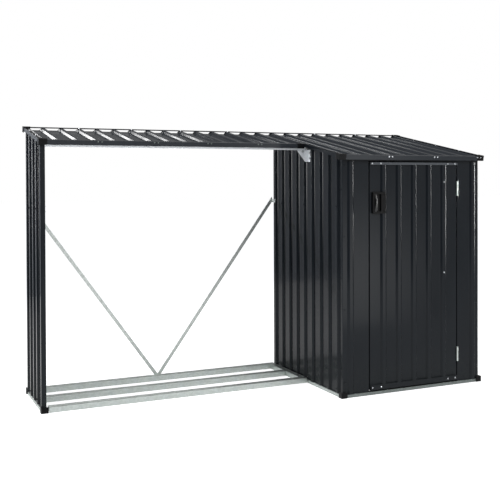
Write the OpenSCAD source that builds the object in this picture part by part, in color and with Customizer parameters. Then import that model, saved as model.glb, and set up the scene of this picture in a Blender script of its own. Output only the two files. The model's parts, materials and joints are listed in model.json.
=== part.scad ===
// Steel log store with a tool cupboard: an open log bay and a closed shed under one ribbed lean-to roof.
// Millimetres, +Z up, the front faces -Y, the log bay is on the -X side.

/* [Plan] */
// Length of the log bay, from the end wall's outer face to the shed's side wall
bay_len = 1532; // [1000:10:2200]
// Width of the shed over its side walls
shed_w = 942; // [850:10:1300]
// Depth of the shed, front to back
shed_d = 920; // [760:10:1200]
// Depth of the log bay, measured from the shared back line
bay_d = 495; // [360:5:600]

/* [Roof] */
// Height of the rib crests over the shed's front wall
eave_h = 1341; // [1200:1:1800]
// Fall of the roof towards the front, in degrees
roof_pitch = 10; // [6:0.5:14]
// Overhang of the roof past the front walls
overhang = 22; // [20:1:40]
// Overhang of the roof past the log bay's end wall
side_overhang = 10; // [4:1:24]
// Overhang of the roof past the shed's right wall
right_overhang = 3; // [2:1:24]
// Overhang of the roof past the back line
back_overhang = 2; // [2:1:24]
// Height of the roof sheet's ribs
roof_rib_h = 14; // [10:1:24]
// Distance of the edge rib's centre outside the end wall's face
edge_rib_out = 2; // [0:1:6]
// Distance of the edge rib's centre inside the shed's right face
edge_rib_in = 28; // [24:1:36]
// Distance of the shed roof's first rib outside the shed's side wall
step_rib_out = 4; // [2:1:10]

/* [Sheet] */
// Thickness of the ribbed sheet
sheet_t = 0.6; // [0.4:0.1:1]
// Centre distance of the ribs
rib_pitch = 102; // [90:1:120]
// Width of a rib across its crest
rib_crest = 20; // [14:1:26]
// Width of a rib at its foot
rib_base = 40; // [34:1:46]
// Height of the wall sheet's ribs
wall_rib_h = 11; // [8:0.5:14]
// Ribs on one sheet before the next one laps over it
sheet_ribs = 3; // [2:1:5]
// Clearance between two lapped sheets
lap_clear = 0.2; // [0.1:0.05:0.4]
// Distance of the last side-wall rib from the back line
back_rib_in = 41; // [24:1:60]

/* [Trims] */
// Thickness of the roof edge trims
trim_t = 0.8; // [0.6:0.1:1.2]
// Width of a trim's top flange
trim_top = 26; // [24:1:40]
// Width of a trim's lower lip
trim_lip = 9; // [6:1:14]
// Drop of an eave trim below the roof sheet
trim_drop = 10; // [6:1:16]
// Drop of a verge trim below the roof sheet
verge_drop = 2; // [1:0.5:12]
// Height of the turned-up hems on the back edge trim and the verge trims
hem_h = 3; // [2:0.5:8]
// Width of the ridge along a verge trim's outer edge
ridge_w = 6; // [4:0.5:8]
// Wall thickness of the plastic corner caps
cap_t = 2; // [1.5:0.25:3]
// Length of a corner cap's arms
cap_arm = 44; // [30:1:60]

/* [Base] */
// Height of the sills under the walls
sill_h = 18; // [14:1:26]
// Width of the sills
sill_w = 34; // [30:1:40]
// Set-back of a sill's face behind the rib crests
sill_in = 2; // [1:0.5:3]
// Height of the log bearers
rail_h = 30; // [24:1:40]
// Width of the log bearers
rail_w = 45; // [40:1:60]
// Depth of the groove along a bearer's top
rail_groove = 4; // [2:0.5:8]
// Thickness of the galvanised channels
rail_t = 1.2; // [0.8:0.1:2]
// Height of the plastic corner feet
foot_h = 32; // [28:1:44]
// Length of a corner foot's arms
foot_arm = 34; // [28:1:36]
// Thickness of a corner foot's skirt
foot_t = 3; // [2:0.5:4]

/* [Frame] */
// Depth of the top beams
beam_d = 28; // [24:1:36]
// Drop of the log bay's beams below the roof sheet
beam_h = 24; // [18:1:34]
// Width of the side top rails and wall girts
girt_w = 25; // [18:1:32]
// Height of the wall girts
girt_h = 30; // [24:1:40]
// Height of the girts above the ground
girt_z = 1040; // [700:10:1100]
// Width of the end wall's posts
post_w = 26; // [22:1:36]
// Width of the brace bars
brace_w = 20; // [14:1:28]
// Thickness of the brace bars
brace_t = 1.5; // [1:0.25:2.5]
// Height of the braces' upper ends
brace_top = 1080; // [800:10:1150]
// Leg of the triangular eave bracket
bracket_leg = 70; // [50:1:90]

/* [Door] */
// Width of the fixed panel on the door's free side, from the shed's left face to the doorway
left_panel_w = 178; // [140:1:220]
// Width of the fixed panel on the hinge side, from the doorway to the shed's right face
right_panel_w = 162; // [120:1:200]
// Running gap round the door
door_gap = 6; // [5.5:0.5:9]
// Depth of the door's folded edges
door_fold = 20; // [16:1:28]
// Height of the door's top capping channel
door_top_h = 14; // [10:1:24]
// Height of the door's bottom capping channel
door_bot_h = 29; // [18:1:40]
// First rib on the door, measured from its free edge
door_rib_in = 88; // [84:1:100]
// Rib on the left fixed panel, measured from the shed's left face
left_rib_in = 60; // [58:1:80]
// Rib on the right fixed panel, measured from the shed's right face
right_rib_in = 54; // [34:1:60]

/* [Hinges] */
// Length of a hinge barrel
hinge_len = 84; // [60:2:100]
// Radius of a hinge barrel
hinge_r = 5.5; // [4.5:0.25:6]
// Radius of the hinge pin
pin_r = 2.5; // [2:0.25:3]
// Radial running clearance of the pin
pin_clear = 0.05; // [0.03:0.01:0.1]
// Thickness of a hinge leaf
leaf_t = 1.5; // [1:0.25:1.75]
// Depth of a hinge leaf
leaf_d = 24; // [18:1:28]
// Height of the lower hinge's middle
hinge_low = 178; // [140:2:300]
// Height of the upper hinge's middle
hinge_high = 1150; // [900:2:1200]

/* [Handle] */
// Width of the handle's body
handle_w = 86; // [70:1:92]
// Height of the handle's body
handle_h = 122; // [100:1:140]
// Depth of the handle's body in front of the door's pans
handle_t = 15; // [14:0.5:18]
// Distance of the grip's middle line from the body's free side
grip_in = 20; // [16:1:22]
// Rise of the bowed grip above the body's face
grip_rise = 11; // [8:0.5:12]
// Radius of the grip
grip_r = 7; // [6:0.5:8]
// Depth of the finger pocket beside the grip
pocket_d = 11; // [8:0.5:12]
// Width of the body's rim above and below the pocket
pocket_rim = 13; // [10:1:16]
// Height of the handle's middle
handle_z = 1074; // [900:2:1150]
// Distance of the handle's body from the door's free edge
handle_in = 12; // [8:1:14]

/* [Hidden] */
$fn = 48;
// Clearance at plain seats
seat = 0.3;
// Play between a sheet and the flange that carries it
sheet_play = 0.1;
// Depth of the return folds at the wall corners
fold = 22;
// Reach of the cutting blocks
far = 6000;

// Play between a corner cap or a capping channel and what it covers
cap_play = 0.2;
cap_out = cap_t + cap_play;
cap_low = -trim_drop - 1;
cap_top = sheet_t + roof_rib_h + trim_t + hem_h + cap_out;

// Outer wall lines: the roof's outline is centred over the origin
x_end = (side_overhang - right_overhang - bay_len - shed_w) / 2;
x_shed = x_end + bay_len;
x_right = x_shed + shed_w;
y_shift = (overhang - back_overhang) * cos(roof_pitch) + (cap_top + cap_low) * sin(roof_pitch);
y_front = (y_shift - shed_d) / 2;
y_back = y_front + shed_d;
y_bay = y_back - bay_d;

// Ribbed walls: the crests lie on the wall lines and the pans lie behind them
x_end_pan = x_end + wall_rib_h;
x_shed_pan = x_shed + wall_rib_h;
x_right_pan = x_right - wall_rib_h;
y_front_pan = y_front + wall_rib_h;
y_back_pan = y_back - wall_rib_h;
wall_z = sill_h;

// Roof: the pans' underside is the plane that the frame carries
roof_z = eave_h - (roof_rib_h + sheet_t) / cos(roof_pitch);
crest_w = sheet_t + roof_rib_h;
trim_w = crest_w + trim_t;
s_front = -overhang;
s_bay = (y_bay - y_front) / cos(roof_pitch) - overhang;
s_back = shed_d / cos(roof_pitch) + back_overhang;
u_left = x_end - side_overhang;
u_right = x_right + right_overhang;
u_step = x_shed - step_rib_out - rib_base / 2 - trim_t - seat;
bay_last = x_shed - step_rib_out - rib_base;
bay_ribs = [for (u = x_end - edge_rib_out; u <= bay_last; u = u + rib_pitch) u];
shed_last = x_right - edge_rib_in - rib_base - 2;
shed_ribs = concat(
    [for (u = x_shed - step_rib_out; u <= shed_last; u = u + rib_pitch) u],
    [x_right - edge_rib_in]
);

// Doorway and door
doorway_x0 = x_shed + left_panel_w;
doorway_x1 = x_right - right_panel_w;
door_x0 = doorway_x0 + door_gap;
door_x1 = doorway_x1 - door_gap;
door_w = door_x1 - door_x0;
head_z = roof_z - 20;
door_z0 = sill_h + door_gap + 2;
door_z1 = head_z - door_gap;
door_back = y_front_pan + door_fold;
hinge_x = door_x1 + door_gap / 2;
hinge_y = y_front_pan - hinge_r - 0.5;
hinge_zs = [hinge_low, hinge_high];

// Height of the roof pans' underside above a given front-to-back line
function roof_under(y) = roof_z + (y - y_front) * tan(roof_pitch);

// Folded sheet: an outer face given as a path, thickened towards its right-hand side
function heading(a, b) = (b - a) / norm(b - a);
function right_of(d) = [d[1], -d[0]];
function side(p, i) = right_of(heading(p[i], p[i + 1]));
function before(p, i) = side(p, max(i - 1, 0));
function after(p, i) = side(p, min(i, len(p) - 2));
function mitre(p, i) = (before(p, i) + after(p, i)) / (1 + before(p, i) * after(p, i));
function folded(p, t) = concat(p, [for (i = [len(p) - 1:-1:0]) p[i] + t * mitre(p, i)]);

// One rib standing h above the pan, and the first rib of a sheet that laps over its neighbour
function rib(c, h) = [
    [c - rib_base / 2, 0], [c - rib_crest / 2, h], [c + rib_crest / 2, h], [c + rib_base / 2, 0]
];
lap_lift = lap_clear + sheet_t;
function lap_foot(c, h) = c - rib_base / 2 + (rib_base - rib_crest) / 2 * lap_lift / h;
function lap_rib(c, h) = [
    [lap_foot(c, h), lap_lift], [c - rib_crest / 2, h], [c + rib_crest / 2, h], [c + rib_base / 2, 0]
];

function sheet_count(ribs) = max(1, round(len(ribs) / sheet_ribs));
function last_rib(ribs, k) = k == sheet_count(ribs) - 1 ? len(ribs) - 1 : (k + 1) * sheet_ribs - 1;
function sheet_head(ribs, h, k, head) = k == 0 ? head : lap_rib(ribs[k * sheet_ribs], h);
function sheet_tail(ribs, k, tail) =
    k == sheet_count(ribs) - 1 ? tail : [[ribs[(k + 1) * sheet_ribs] + rib_crest / 2, 0]];
function sheet_path(ribs, h, k, head, tail) = concat(
    sheet_head(ribs, h, k, head),
    [for (i = [k * sheet_ribs + 1:1:last_rib(ribs, k)]) each rib(ribs[i], h)],
    sheet_tail(ribs, k, tail)
);

// A run of lapped ribbed sheets: pans' outer face on the X axis, ribs towards +Y, length along +Z.
// The head is the run's first edge up to its first rib's far foot, the tail is its last edge.
module sheeting(ribs, h, head, tail, length) {
    for (k = [0:sheet_count(ribs) - 1])
        linear_extrude(height = length)
            polygon(folded(sheet_path(ribs, h, k, head, tail), sheet_t));
}

// A single ribbed sheet, set out in the same way
module wide_sheet(ribs, h, head, tail, length) {
    rest = [for (i = [1:1:len(ribs) - 1]) each rib(ribs[i], h)];
    linear_extrude(height = length) polygon(folded(concat(head, rest, tail), sheet_t));
}

module anthracite() {
    color("#3a3d42") children();
}

module galvanised() {
    color("#c6cbcd") children();
}

module plastic() {
    color("#1b1b1d") children();
}

// Place children in the roof's own frame: X along the eave, Y up the slope, Z out of the roof
module on_roof() {
    translate([0, y_front, roof_z]) rotate([roof_pitch, 0, 0]) children();
}

// Cut away what would reach through the roof pans
module under_roof() {
    difference() {
        children();
        on_roof() translate([-far / 2, -far / 2, -seat]) cube([far, far, far / 4]);
    }
}

// A folded profile in the YZ plane, run along X
module run_x(path, t, x0, x1) {
    translate([x0, 0, 0]) rotate([90, 0, 90]) linear_extrude(height = x1 - x0) polygon(folded(path, t));
}

// A folded profile in the XZ plane, run along Y
module run_y(path, t, y0, y1) {
    translate([0, y1, 0]) rotate([90, 0, 0]) linear_extrude(height = y1 - y0) polygon(folded(path, t));
}

function channel(a, w, h) = [[a + w, 0], [a, 0], [a, h], [a + w, h]];
function channel_back(a, w, h) = [[a - w, h], [a, h], [a, 0], [a - w, 0]];

// Log bearer: an upturned channel with a groove along its top and inward lips
function bearer(a) = [
    [a + 9, 0], [a, 0], [a, rail_h], [a + rail_w * 0.3, rail_h],
    [a + rail_w * 0.3 + rail_groove, rail_h - rail_groove],
    [a + rail_w * 0.7 - rail_groove, rail_h - rail_groove],
    [a + rail_w * 0.7, rail_h], [a + rail_w, rail_h], [a + rail_w, 0], [a + rail_w - 9, 0]
];
bearer_x0 = x_end + max(sill_in + sill_w, wall_rib_h + sheet_t + post_w) + seat;
bearer_x1 = x_shed - seat - sill_w - seat;
bearer_step = (bay_d - rail_w - 2 * sill_in) / 2;

module bearer_at(i, x1) {
    galvanised() run_x(bearer(y_bay + sill_in + i * bearer_step), rail_t, bearer_x0, x1);
}

module front_bearer() {
    bearer_at(0, x_shed - seat);
}

module middle_bearer() {
    bearer_at(1, bearer_x1);
}

module back_bearer() {
    bearer_at(2, bearer_x1);
}

module end_sill() {
    galvanised() run_y(channel(x_end + sill_in, sill_w, sill_h), rail_t, y_bay + sill_in, y_back - sill_in);
}

module shed_side_bearer() {
    a = x_shed - seat - sill_w;
    y0 = y_bay + sill_in + rail_w + seat;
    galvanised() run_y(channel(a, sill_w, rail_h), rail_t, y0, y_back - sill_in);
}

module shed_front_sill() {
    galvanised()
        run_x(channel(y_front + sill_in, sill_w, sill_h), rail_t, x_shed + sill_in, x_right - sill_in);
}

module shed_back_sill() {
    galvanised()
        run_x(channel_back(y_back - sill_in, sill_w, sill_h), rail_t, x_shed + sill_in, x_right - sill_in);
}

side_sill_y0 = y_front + sill_in + sill_w + seat;
side_sill_y1 = y_back - sill_in - sill_w - seat;

module shed_left_sill() {
    galvanised() run_y(channel(x_shed + sill_in, sill_w, sill_h), rail_t, side_sill_y0, side_sill_y1);
}

module shed_right_sill() {
    galvanised() run_y(channel_back(x_right - sill_in, sill_w, sill_h), rail_t, side_sill_y0, side_sill_y1);
}

// L-shaped skirt round a corner at the origin, its arms along +X and +Y
module skirt(inner, outer, h) {
    linear_extrude(height = h)
        difference() {
            union() {
                translate([outer, outer]) circle(r = outer);
                translate([0, outer]) square([inner + outer, foot_arm]);
                translate([outer, 0]) square([foot_arm, inner + outer]);
            }
            translate([inner + outer, inner + outer]) square(far);
        }
}

// Corner foot: a skirt in front of the crests, thickened to meet the sill below
module foot(x, y, mx, my) {
    lower = sill_in + foot_t;
    translate([x, y, 0]) mirror([mx, 0, 0]) mirror([0, my, 0]) translate([-seat - foot_t, -seat - foot_t, 0]) {
        skirt(0, foot_t, foot_h);
        linear_extrude(height = sill_h - seat)
            difference() {
                translate([foot_t, foot_t]) square(foot_arm);
                translate([lower, lower]) square(far);
            }
    }
}

module corner_feet() {
    plastic() {
        foot(x_end, y_bay, 0, 0);
        foot(x_end, y_back, 0, 1);
        foot(x_shed, y_front, 0, 0);
        foot(x_right, y_front, 1, 0);
        foot(x_right, y_back, 1, 1);
    }
}

// Side walls run front to back, so their ribs are set out from the back line
function side_ribs(depth, lap) = [
    for (n = [floor((depth - back_rib_in - rib_base / 2 - lap - 2) / rib_pitch):-1:0])
        depth - back_rib_in - n * rib_pitch
];

// Edges of a ribbed wall that faces -X, its first edge under the front corner
function side_head(ribs) = concat([[wall_rib_h + sheet_t + seat, 0]], rib(ribs[0], wall_rib_h));
function side_tail(depth) = [[depth - seat, 0]];
wall_length = eave_h + shed_d / 2;

// Stand a wall's sheets on the sills with the front line at y0, trimmed by the roof
module stand_side(x_pan, y0) {
    under_roof() translate([x_pan, y0, wall_z]) rotate([0, 0, 90]) children();
}

module end_wall() {
    ribs = side_ribs(bay_d, wall_rib_h + rib_base);
    anthracite() stand_side(x_end_pan, y_bay)
        wide_sheet(ribs, wall_rib_h, side_head(ribs), side_tail(bay_d), wall_length);
}

module shed_side_wall() {
    ribs = side_ribs(shed_d, wall_rib_h + fold);
    stand_side(x_shed_pan, y_front)
        sheeting(ribs, wall_rib_h, side_head(ribs), side_tail(shed_d), wall_length);
}

module shed_left_wall() {
    anthracite() shed_side_wall();
}

module shed_right_wall() {
    anthracite() translate([x_shed + x_right, 0, 0]) mirror([1, 0, 0]) shed_side_wall();
}

// Back wall: between the side walls, folded in at both ends
module shed_back_wall() {
    u0 = x_shed_pan + sheet_t + seat;
    u1 = x_right_pan - sheet_t - seat;
    count = floor((u1 - u0 - rib_base - 20) / rib_pitch);
    first = (u0 + u1) / 2 - count * rib_pitch / 2;
    ribs = [for (i = [0:count]) first + i * rib_pitch];
    head = concat([[u0, -fold], [u0, 0]], rib(first, wall_rib_h));
    anthracite() under_roof()
        translate([0, y_back_pan, wall_z])
            sheeting(ribs, wall_rib_h, head, [[u1, 0], [u1, -fold]], wall_length);
}

// Fixed front panels: wrapped round the shed's corner and folded in at the doorway
corner_out = wall_rib_h - sheet_t - lap_clear;
jamb_d = door_fold + 8;

module front_left_panel() {
    path = concat([[x_shed + corner_out, -fold], [x_shed + corner_out, 0]],
        rib(x_shed + left_rib_in, wall_rib_h),
        [[doorway_x0, 0], [doorway_x0, -jamb_d]]);
    anthracite() translate([0, y_front_pan, wall_z]) mirror([0, 1, 0])
        linear_extrude(height = head_z - seat - wall_z) polygon(folded(path, sheet_t));
}

module front_right_panel() {
    path = concat([[doorway_x1, -jamb_d], [doorway_x1, 0]], rib(x_right - right_rib_in, wall_rib_h),
        [[x_right - corner_out, 0], [x_right - corner_out, -fold]]);
    anthracite() translate([0, y_front_pan, wall_z]) mirror([0, 1, 0])
        linear_extrude(height = head_z - seat - wall_z) polygon(folded(path, sheet_t));
}

// End wall posts: the front one wraps the sheet's edge like a half rib, the back one stands inside it
module end_front_post() {
    slope = (rib_base - rib_crest) / 2;
    path = [
        [x_end + corner_out, -rib_base], [x_end + corner_out, -rib_crest - slope],
        [x_end, -rib_crest], [x_end, 0], [x_end + post_w, 0], [x_end + post_w, -fold + 2],
        [x_end + post_w - 8, -fold + 2]
    ];
    anthracite() under_roof()
        translate([0, y_bay + wall_rib_h, wall_z]) mirror([0, 1, 0])
            linear_extrude(height = wall_length) polygon(folded(path, sheet_t));
}

post_back_y = y_back - sill_in;

module end_back_post() {
    x0 = x_end_pan + sheet_t;
    path = [[x0, -post_w], [x0, 0], [x0 + post_w, 0], [x0 + post_w, -post_w + 6]];
    anthracite() under_roof()
        translate([0, post_back_y, wall_z])
            linear_extrude(height = wall_length) polygon(folded(path, sheet_t));
}

module girt_y(x0, y0, y1) {
    translate([0, 0, girt_z]) run_y(channel(x0, girt_w, girt_h), rail_t, y0, y1);
}

module end_wall_girt() {
    x0 = x_end_pan + sheet_t;
    galvanised() girt_y(x0, y_bay + wall_rib_h + fold + seat, post_back_y - post_w - seat);
}

module shed_girts() {
    x0 = x_shed_pan + sheet_t;
    y0 = y_front + side_margin;
    y1 = y_back - side_margin;
    galvanised() {
        girt_y(x0, y0, y1);
        translate([x_shed + x_right, 0, 0]) mirror([1, 0, 0]) girt_y(x0, y0, y1);
        translate([0, 0, girt_z])
            run_x(channel_back(y_back_pan - sheet_t, girt_w, girt_h), rail_t,
                x_shed_pan + 2, x_right_pan - 2);
    }
}

// Beams along the eaves: an upright web and a top flange laid to the roof's fall
function eave_channel(y, d, z0) = [
    [y + d, z0], [y, z0], [y, roof_under(y) - sheet_play], [y + d, roof_under(y + d) - sheet_play]
];
function back_channel(y, d, z0) = [
    [y - d, roof_under(y - d) - sheet_play], [y, roof_under(y) - sheet_play], [y, z0], [y - d, z0]
];
side_margin = wall_rib_h + sheet_t + beam_d + 8;
bay_beam_x0 = x_end + post_w + seat;
bay_beam_x1 = x_shed - seat;

module bay_eave_beam() {
    y = y_bay + wall_rib_h;
    anthracite() run_x(eave_channel(y, beam_d, roof_under(y) - beam_h), rail_t, bay_beam_x0, bay_beam_x1);
}

module bay_back_beam() {
    x0 = x_end_pan + sheet_t + post_w + seat;
    y = post_back_y;
    galvanised() run_x(back_channel(y, beam_d, roof_under(y) - beam_h - 6), rail_t, x0, bay_beam_x1);
}

module shed_front_header() {
    x0 = x_shed_pan + sheet_t + seat;
    x1 = x_right_pan - sheet_t - seat;
    anthracite() run_x(eave_channel(y_front_pan, beam_d, head_z), rail_t, x0, x1);
}

module shed_back_beam() {
    y = y_back_pan - sheet_t;
    x0 = x_shed_pan + 2 * sheet_t + 2 * seat;
    x1 = x_right_pan - 2 * sheet_t - 2 * seat;
    galvanised() run_x(back_channel(y, beam_d, roof_under(y) - beam_h - 6), rail_t, x0, x1);
}

// Top rails along the side walls: angles laid under the roof sheet, their upright leg on the wall
module top_rail(x0, y0, y1) {
    on_roof()
        run_y([[x0 + sheet_play, -beam_h], [x0 + sheet_play, -sheet_play], [x0 + girt_w, -sheet_play]],
            rail_t,
            (y0 - y_front) / cos(roof_pitch), (y1 - y_front) / cos(roof_pitch));
}

module end_top_rail() {
    x0 = x_end_pan + sheet_t;
    galvanised() top_rail(x0, y_bay + wall_rib_h + fold + 8, post_back_y - post_w - 8);
}

module shed_left_top_rail() {
    galvanised() top_rail(x_shed_pan + sheet_t, y_front + side_margin, y_back - side_margin);
}

module shed_right_top_rail() {
    galvanised() translate([x_shed + x_right, 0, 0]) mirror([1, 0, 0])
        top_rail(x_shed_pan + sheet_t, y_front + side_margin, y_back - side_margin);
}

// Roof sheets: ribs run down the slope, each sheet's first rib straps over its neighbour's flat edge
module roof_sheets(ribs, head, tail, s0, s1) {
    on_roof() translate([0, s1, sheet_t]) rotate([90, 0, 0]) sheeting(ribs, roof_rib_h, head, tail, s1 - s0);
}

sheet_back = s_back - trim_t - seat;

module bay_roof() {
    edge = u_left + trim_t + seat;
    first = bay_ribs[0];
    head = [[edge, roof_rib_h], [first + rib_crest / 2, roof_rib_h], [first + rib_base / 2, 0]];
    tail = [[x_shed - step_rib_out + rib_crest / 2, 0]];
    anthracite() roof_sheets(bay_ribs, head, tail, s_bay + trim_t + seat, sheet_back);
}

module shed_roof() {
    head = lap_rib(shed_ribs[0], roof_rib_h);
    tail = [[u_right - trim_t - seat, 0]];
    anthracite() roof_sheets(shed_ribs, head, tail, s_front + trim_t + seat, sheet_back);
}

// Edge trims: a lower lip, an upright face and a top flange that lies on the crests
function trim_path(a) = [[a + trim_lip, -trim_drop], [a, -trim_drop], [a, trim_w], [a + trim_top, trim_w]];

// Verge trims: the outer edge is raised to a ridge and the inner edge is turned up, with a groove between
verge_w = trim_w + hem_h;
function verge_path(a) = [
    [a, -verge_drop], [a, verge_w], [a + ridge_w, verge_w],
    [a + ridge_w, trim_w], [a + trim_top - trim_t, trim_w], [a + trim_top - trim_t, verge_w]
];
function verge_path_back(a) = [
    [a - trim_top + trim_t, verge_w], [a - trim_top + trim_t, trim_w], [a - ridge_w, trim_w],
    [a - ridge_w, verge_w], [a, verge_w], [a, -verge_drop]
];

module bay_eave_trim() {
    anthracite() on_roof() run_x(trim_path(s_bay), trim_t, u_left + trim_top + seat, u_step - seat);
}

module shed_eave_trim() {
    anthracite() on_roof()
        run_x(trim_path(s_front), trim_t, u_step + trim_top + seat, u_right - trim_top - seat);
}

module back_edge_trim() {
    a = s_back - trim_t;
    path = [[a - trim_top, trim_w], [a, trim_w], [a, trim_w + hem_h]];
    anthracite() on_roof() run_x(path, trim_t, u_left + trim_top + seat, u_right - trim_top - seat);
}

module left_verge_trim() {
    anthracite() on_roof() run_y(verge_path(u_left), trim_t, s_bay, s_back);
}

module right_verge_trim() {
    anthracite() on_roof() run_y(verge_path_back(u_right), trim_t, s_front, s_back);
}

module step_verge_trim() {
    anthracite() on_roof() run_y(verge_path(u_step), trim_t, s_front, s_bay - seat);
}

// Corner cap over two trims, arms along +X and +Y of the roof's frame
module cap(u, s, mu, ms) {
    top = verge_w + cap_play;
    translate([u, s, 0]) mirror([mu, 0, 0]) mirror([0, ms, 0])
        difference() {
            translate([-cap_out, -cap_out, cap_low]) cube([cap_arm, cap_arm, top + cap_t - cap_low]);
            translate([-cap_play, -cap_play, cap_low - 1]) cube([cap_arm, cap_arm, top - cap_low + 1]);
            translate([trim_top, trim_top, cap_low - 1]) cube([cap_arm, cap_arm, far / 4]);
        }
}

// Sleeve over the end of an eave trim whose upright face is at s
module sleeve(u1, s) {
    top = trim_w + cap_play;
    difference() {
        translate([u1 - cap_arm, s - cap_out, cap_low])
            cube([cap_arm, cap_out + trim_top, top + cap_t - cap_low]);
        translate([u1 - cap_arm - 1, s - cap_play, cap_low - 1])
            cube([cap_arm + 2, far / 4, top - cap_low + 1]);
    }
}

module roof_corner_caps() {
    plastic() on_roof() {
        cap(u_left, s_bay, 0, 0);
        cap(u_left, s_back, 0, 1);
        cap(u_step, s_front, 0, 0);
        cap(u_right, s_front, 1, 0);
        cap(u_right, s_back, 1, 1);
        sleeve(u_step - seat, s_bay);
    }
}

// Braces: flat bars in the open back, bolted together on the back bearer, one to the end wall's back post
// and one turned on to the shed's side wall
brace_foot_x = (bearer_x0 + bearer_x1) / 2;
brace_foot_z = rail_h * 0.6;
brace_y = y_back - sill_in;

// Bar in the XZ plane from the foot to a wall at x1
module brace_bar(x1, y) {
    run = x1 - brace_foot_x;
    rise = brace_top - brace_foot_z;
    angle = atan2(rise, run);
    long = norm([run, rise]);
    translate([brace_foot_x, y, brace_foot_z])
        rotate([0, -angle, 0])
            translate([-brace_w / 2, 0, -brace_w / 2]) cube([long + brace_w, brace_t, brace_w]);
}

module left_brace() {
    face = x_end_pan + sheet_t;
    galvanised()
        intersection() {
            brace_bar(face, brace_y);
            translate([face, -far / 2, 0]) cube([far, far, far]);
        }
}

module right_brace() {
    galvanised() {
        intersection() {
            brace_bar(x_shed, brace_y + brace_t);
            translate([x_shed - far, -far / 2, 0]) cube([far, far, far]);
        }
        translate([x_shed - brace_t, y_back - back_rib_in - rib_crest / 2, brace_top - brace_w])
            cube([brace_t, brace_y + 2 * brace_t - y_back + back_rib_in + rib_crest / 2, brace_w]);
    }
}

// Bracket where the eave beam meets the shed's side wall: a triangular web and a flange on the wall's pan.
// Where a rib stands behind the web, the flange lies on the crests instead.
bracket_y = y_bay + wall_rib_h;
bracket_rib = ceil((y_back - back_rib_in + rib_base / 2 - bracket_y) / rib_pitch);
bracket_foot = y_back - back_rib_in - bracket_rib * rib_pitch + rib_base / 2;
bracket_in_pan = bracket_y - bracket_foot > 24 && bracket_y - bracket_foot < rib_pitch - rib_base;
bracket_x = (bracket_in_pan ? x_shed_pan : x_shed) - seat;
bracket_flange = bracket_in_pan ? min(46, bracket_y - brace_t - bracket_foot - 1) : 36;

module eave_bracket() {
    top = roof_under(bracket_y) - beam_h;
    low = top - bracket_leg;
    galvanised() translate([0, bracket_y - brace_t, 0]) {
        rotate([90, 0, 0]) mirror([0, 0, 1])
            linear_extrude(height = brace_t)
                polygon([
                    [bracket_x - bracket_leg, top], [bracket_x, top], [bracket_x, low], [bracket_x - 16, low]
                ]);
        translate([bracket_x - brace_t, -bracket_flange, low]) cube([brace_t, bracket_flange, bracket_leg]);
    }
}

// Barrel hinge at the door's edge: the frame leaf holds the pin, the door leaf turns on its middle knuckle
knuckle = hinge_len / 3;
leaf_y = hinge_r + 1.2;

module barrel(z0, z1) {
    translate([0, 0, z0]) cylinder(h = z1 - z0, r = hinge_r);
}

module frame_hinge_leaf() {
    face = door_gap / 2;
    for (z = [-hinge_len / 2, hinge_len / 2 - knuckle + seat]) {
        barrel(z, z + knuckle - seat);
        translate([face - leaf_t, 0, z]) cube([leaf_t, leaf_d, knuckle - seat]);
    }
    translate([0, 0, -hinge_len / 2]) cylinder(h = hinge_len, r = pin_r);
    translate([face - leaf_t, leaf_y, -hinge_len / 2]) cube([leaf_t, leaf_d - leaf_y, hinge_len]);
}

module door_hinge_leaf() {
    face = -door_gap / 2;
    half = knuckle / 2 - seat;
    difference() {
        union() {
            barrel(-half, half);
            translate([face, 0, -half]) cube([leaf_t, leaf_d, 2 * half]);
        }
        translate([0, 0, -hinge_len]) cylinder(h = 2 * hinge_len, r = pin_r + pin_clear);
    }
    translate([face, leaf_y, -hinge_len / 2]) cube([leaf_t, leaf_d - leaf_y, hinge_len]);
}

module frame_hinge_leaves() {
    galvanised() for (z = hinge_zs) translate([hinge_x, hinge_y, z]) frame_hinge_leaf();
}

module door_hinge_leaves() {
    galvanised() for (z = hinge_zs) translate([hinge_x, hinge_y, z]) door_hinge_leaf();
}

// Door: one ribbed sheet folded in at its edges, capped by channels at the top and bottom
module door_panel() {
    last = floor((door_w - door_rib_in - rib_base) / rib_pitch);
    ribs = [for (i = [0:last]) each rib(door_x0 + door_rib_in + i * rib_pitch, wall_rib_h)];
    path = concat([[door_x0, -door_fold], [door_x0, 0]], ribs, [[door_x1, 0], [door_x1, -door_fold]]);
    z0 = door_z0 + trim_t + cap_play;
    anthracite() translate([0, y_front_pan, z0]) mirror([0, 1, 0])
        linear_extrude(height = door_z1 - trim_t - cap_play - z0) polygon(folded(path, sheet_t));
}

cap_front = y_front - trim_t - cap_play;
cap_back = door_back + trim_t + cap_play;

module door_top_channel() {
    z = door_z1;
    path = [[cap_front, z - door_top_h], [cap_front, z], [cap_back, z], [cap_back, z - door_top_h]];
    anthracite() run_x(path, trim_t, door_x0, door_x1);
}

module door_bottom_channel() {
    z = door_z0;
    path = [[cap_back, z + door_bot_h], [cap_back, z], [cap_front, z], [cap_front, z + door_bot_h]];
    anthracite() run_x(path, trim_t, door_x0, door_x1);
}

module door_middle_channel() {
    y = y_front_pan + sheet_t;
    z = (door_z0 + door_z1) / 2 - girt_h / 2;
    galvanised() translate([0, 0, z])
        run_x(channel(y, door_fold - sheet_t - 1, girt_h), rail_t,
            door_x0 + sheet_t + seat, door_x1 - sheet_t - seat);
}

// Pull handle: a rounded body fitted over the door's first rib, with a bowed grip and a finger pocket
handle_x = door_x0 + handle_in + handle_w / 2;
handle_left = -handle_w / 2;
rib_at = door_rib_in - handle_in + handle_left;
bow_half = handle_h / 2 - 9;
bow_out = (bow_half * bow_half + grip_rise * grip_rise) / (2 * grip_rise);
pocket_x0 = handle_left + grip_in + grip_r + 2;
pocket_x1 = rib_at - rib_base / 2 - 2;

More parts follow.
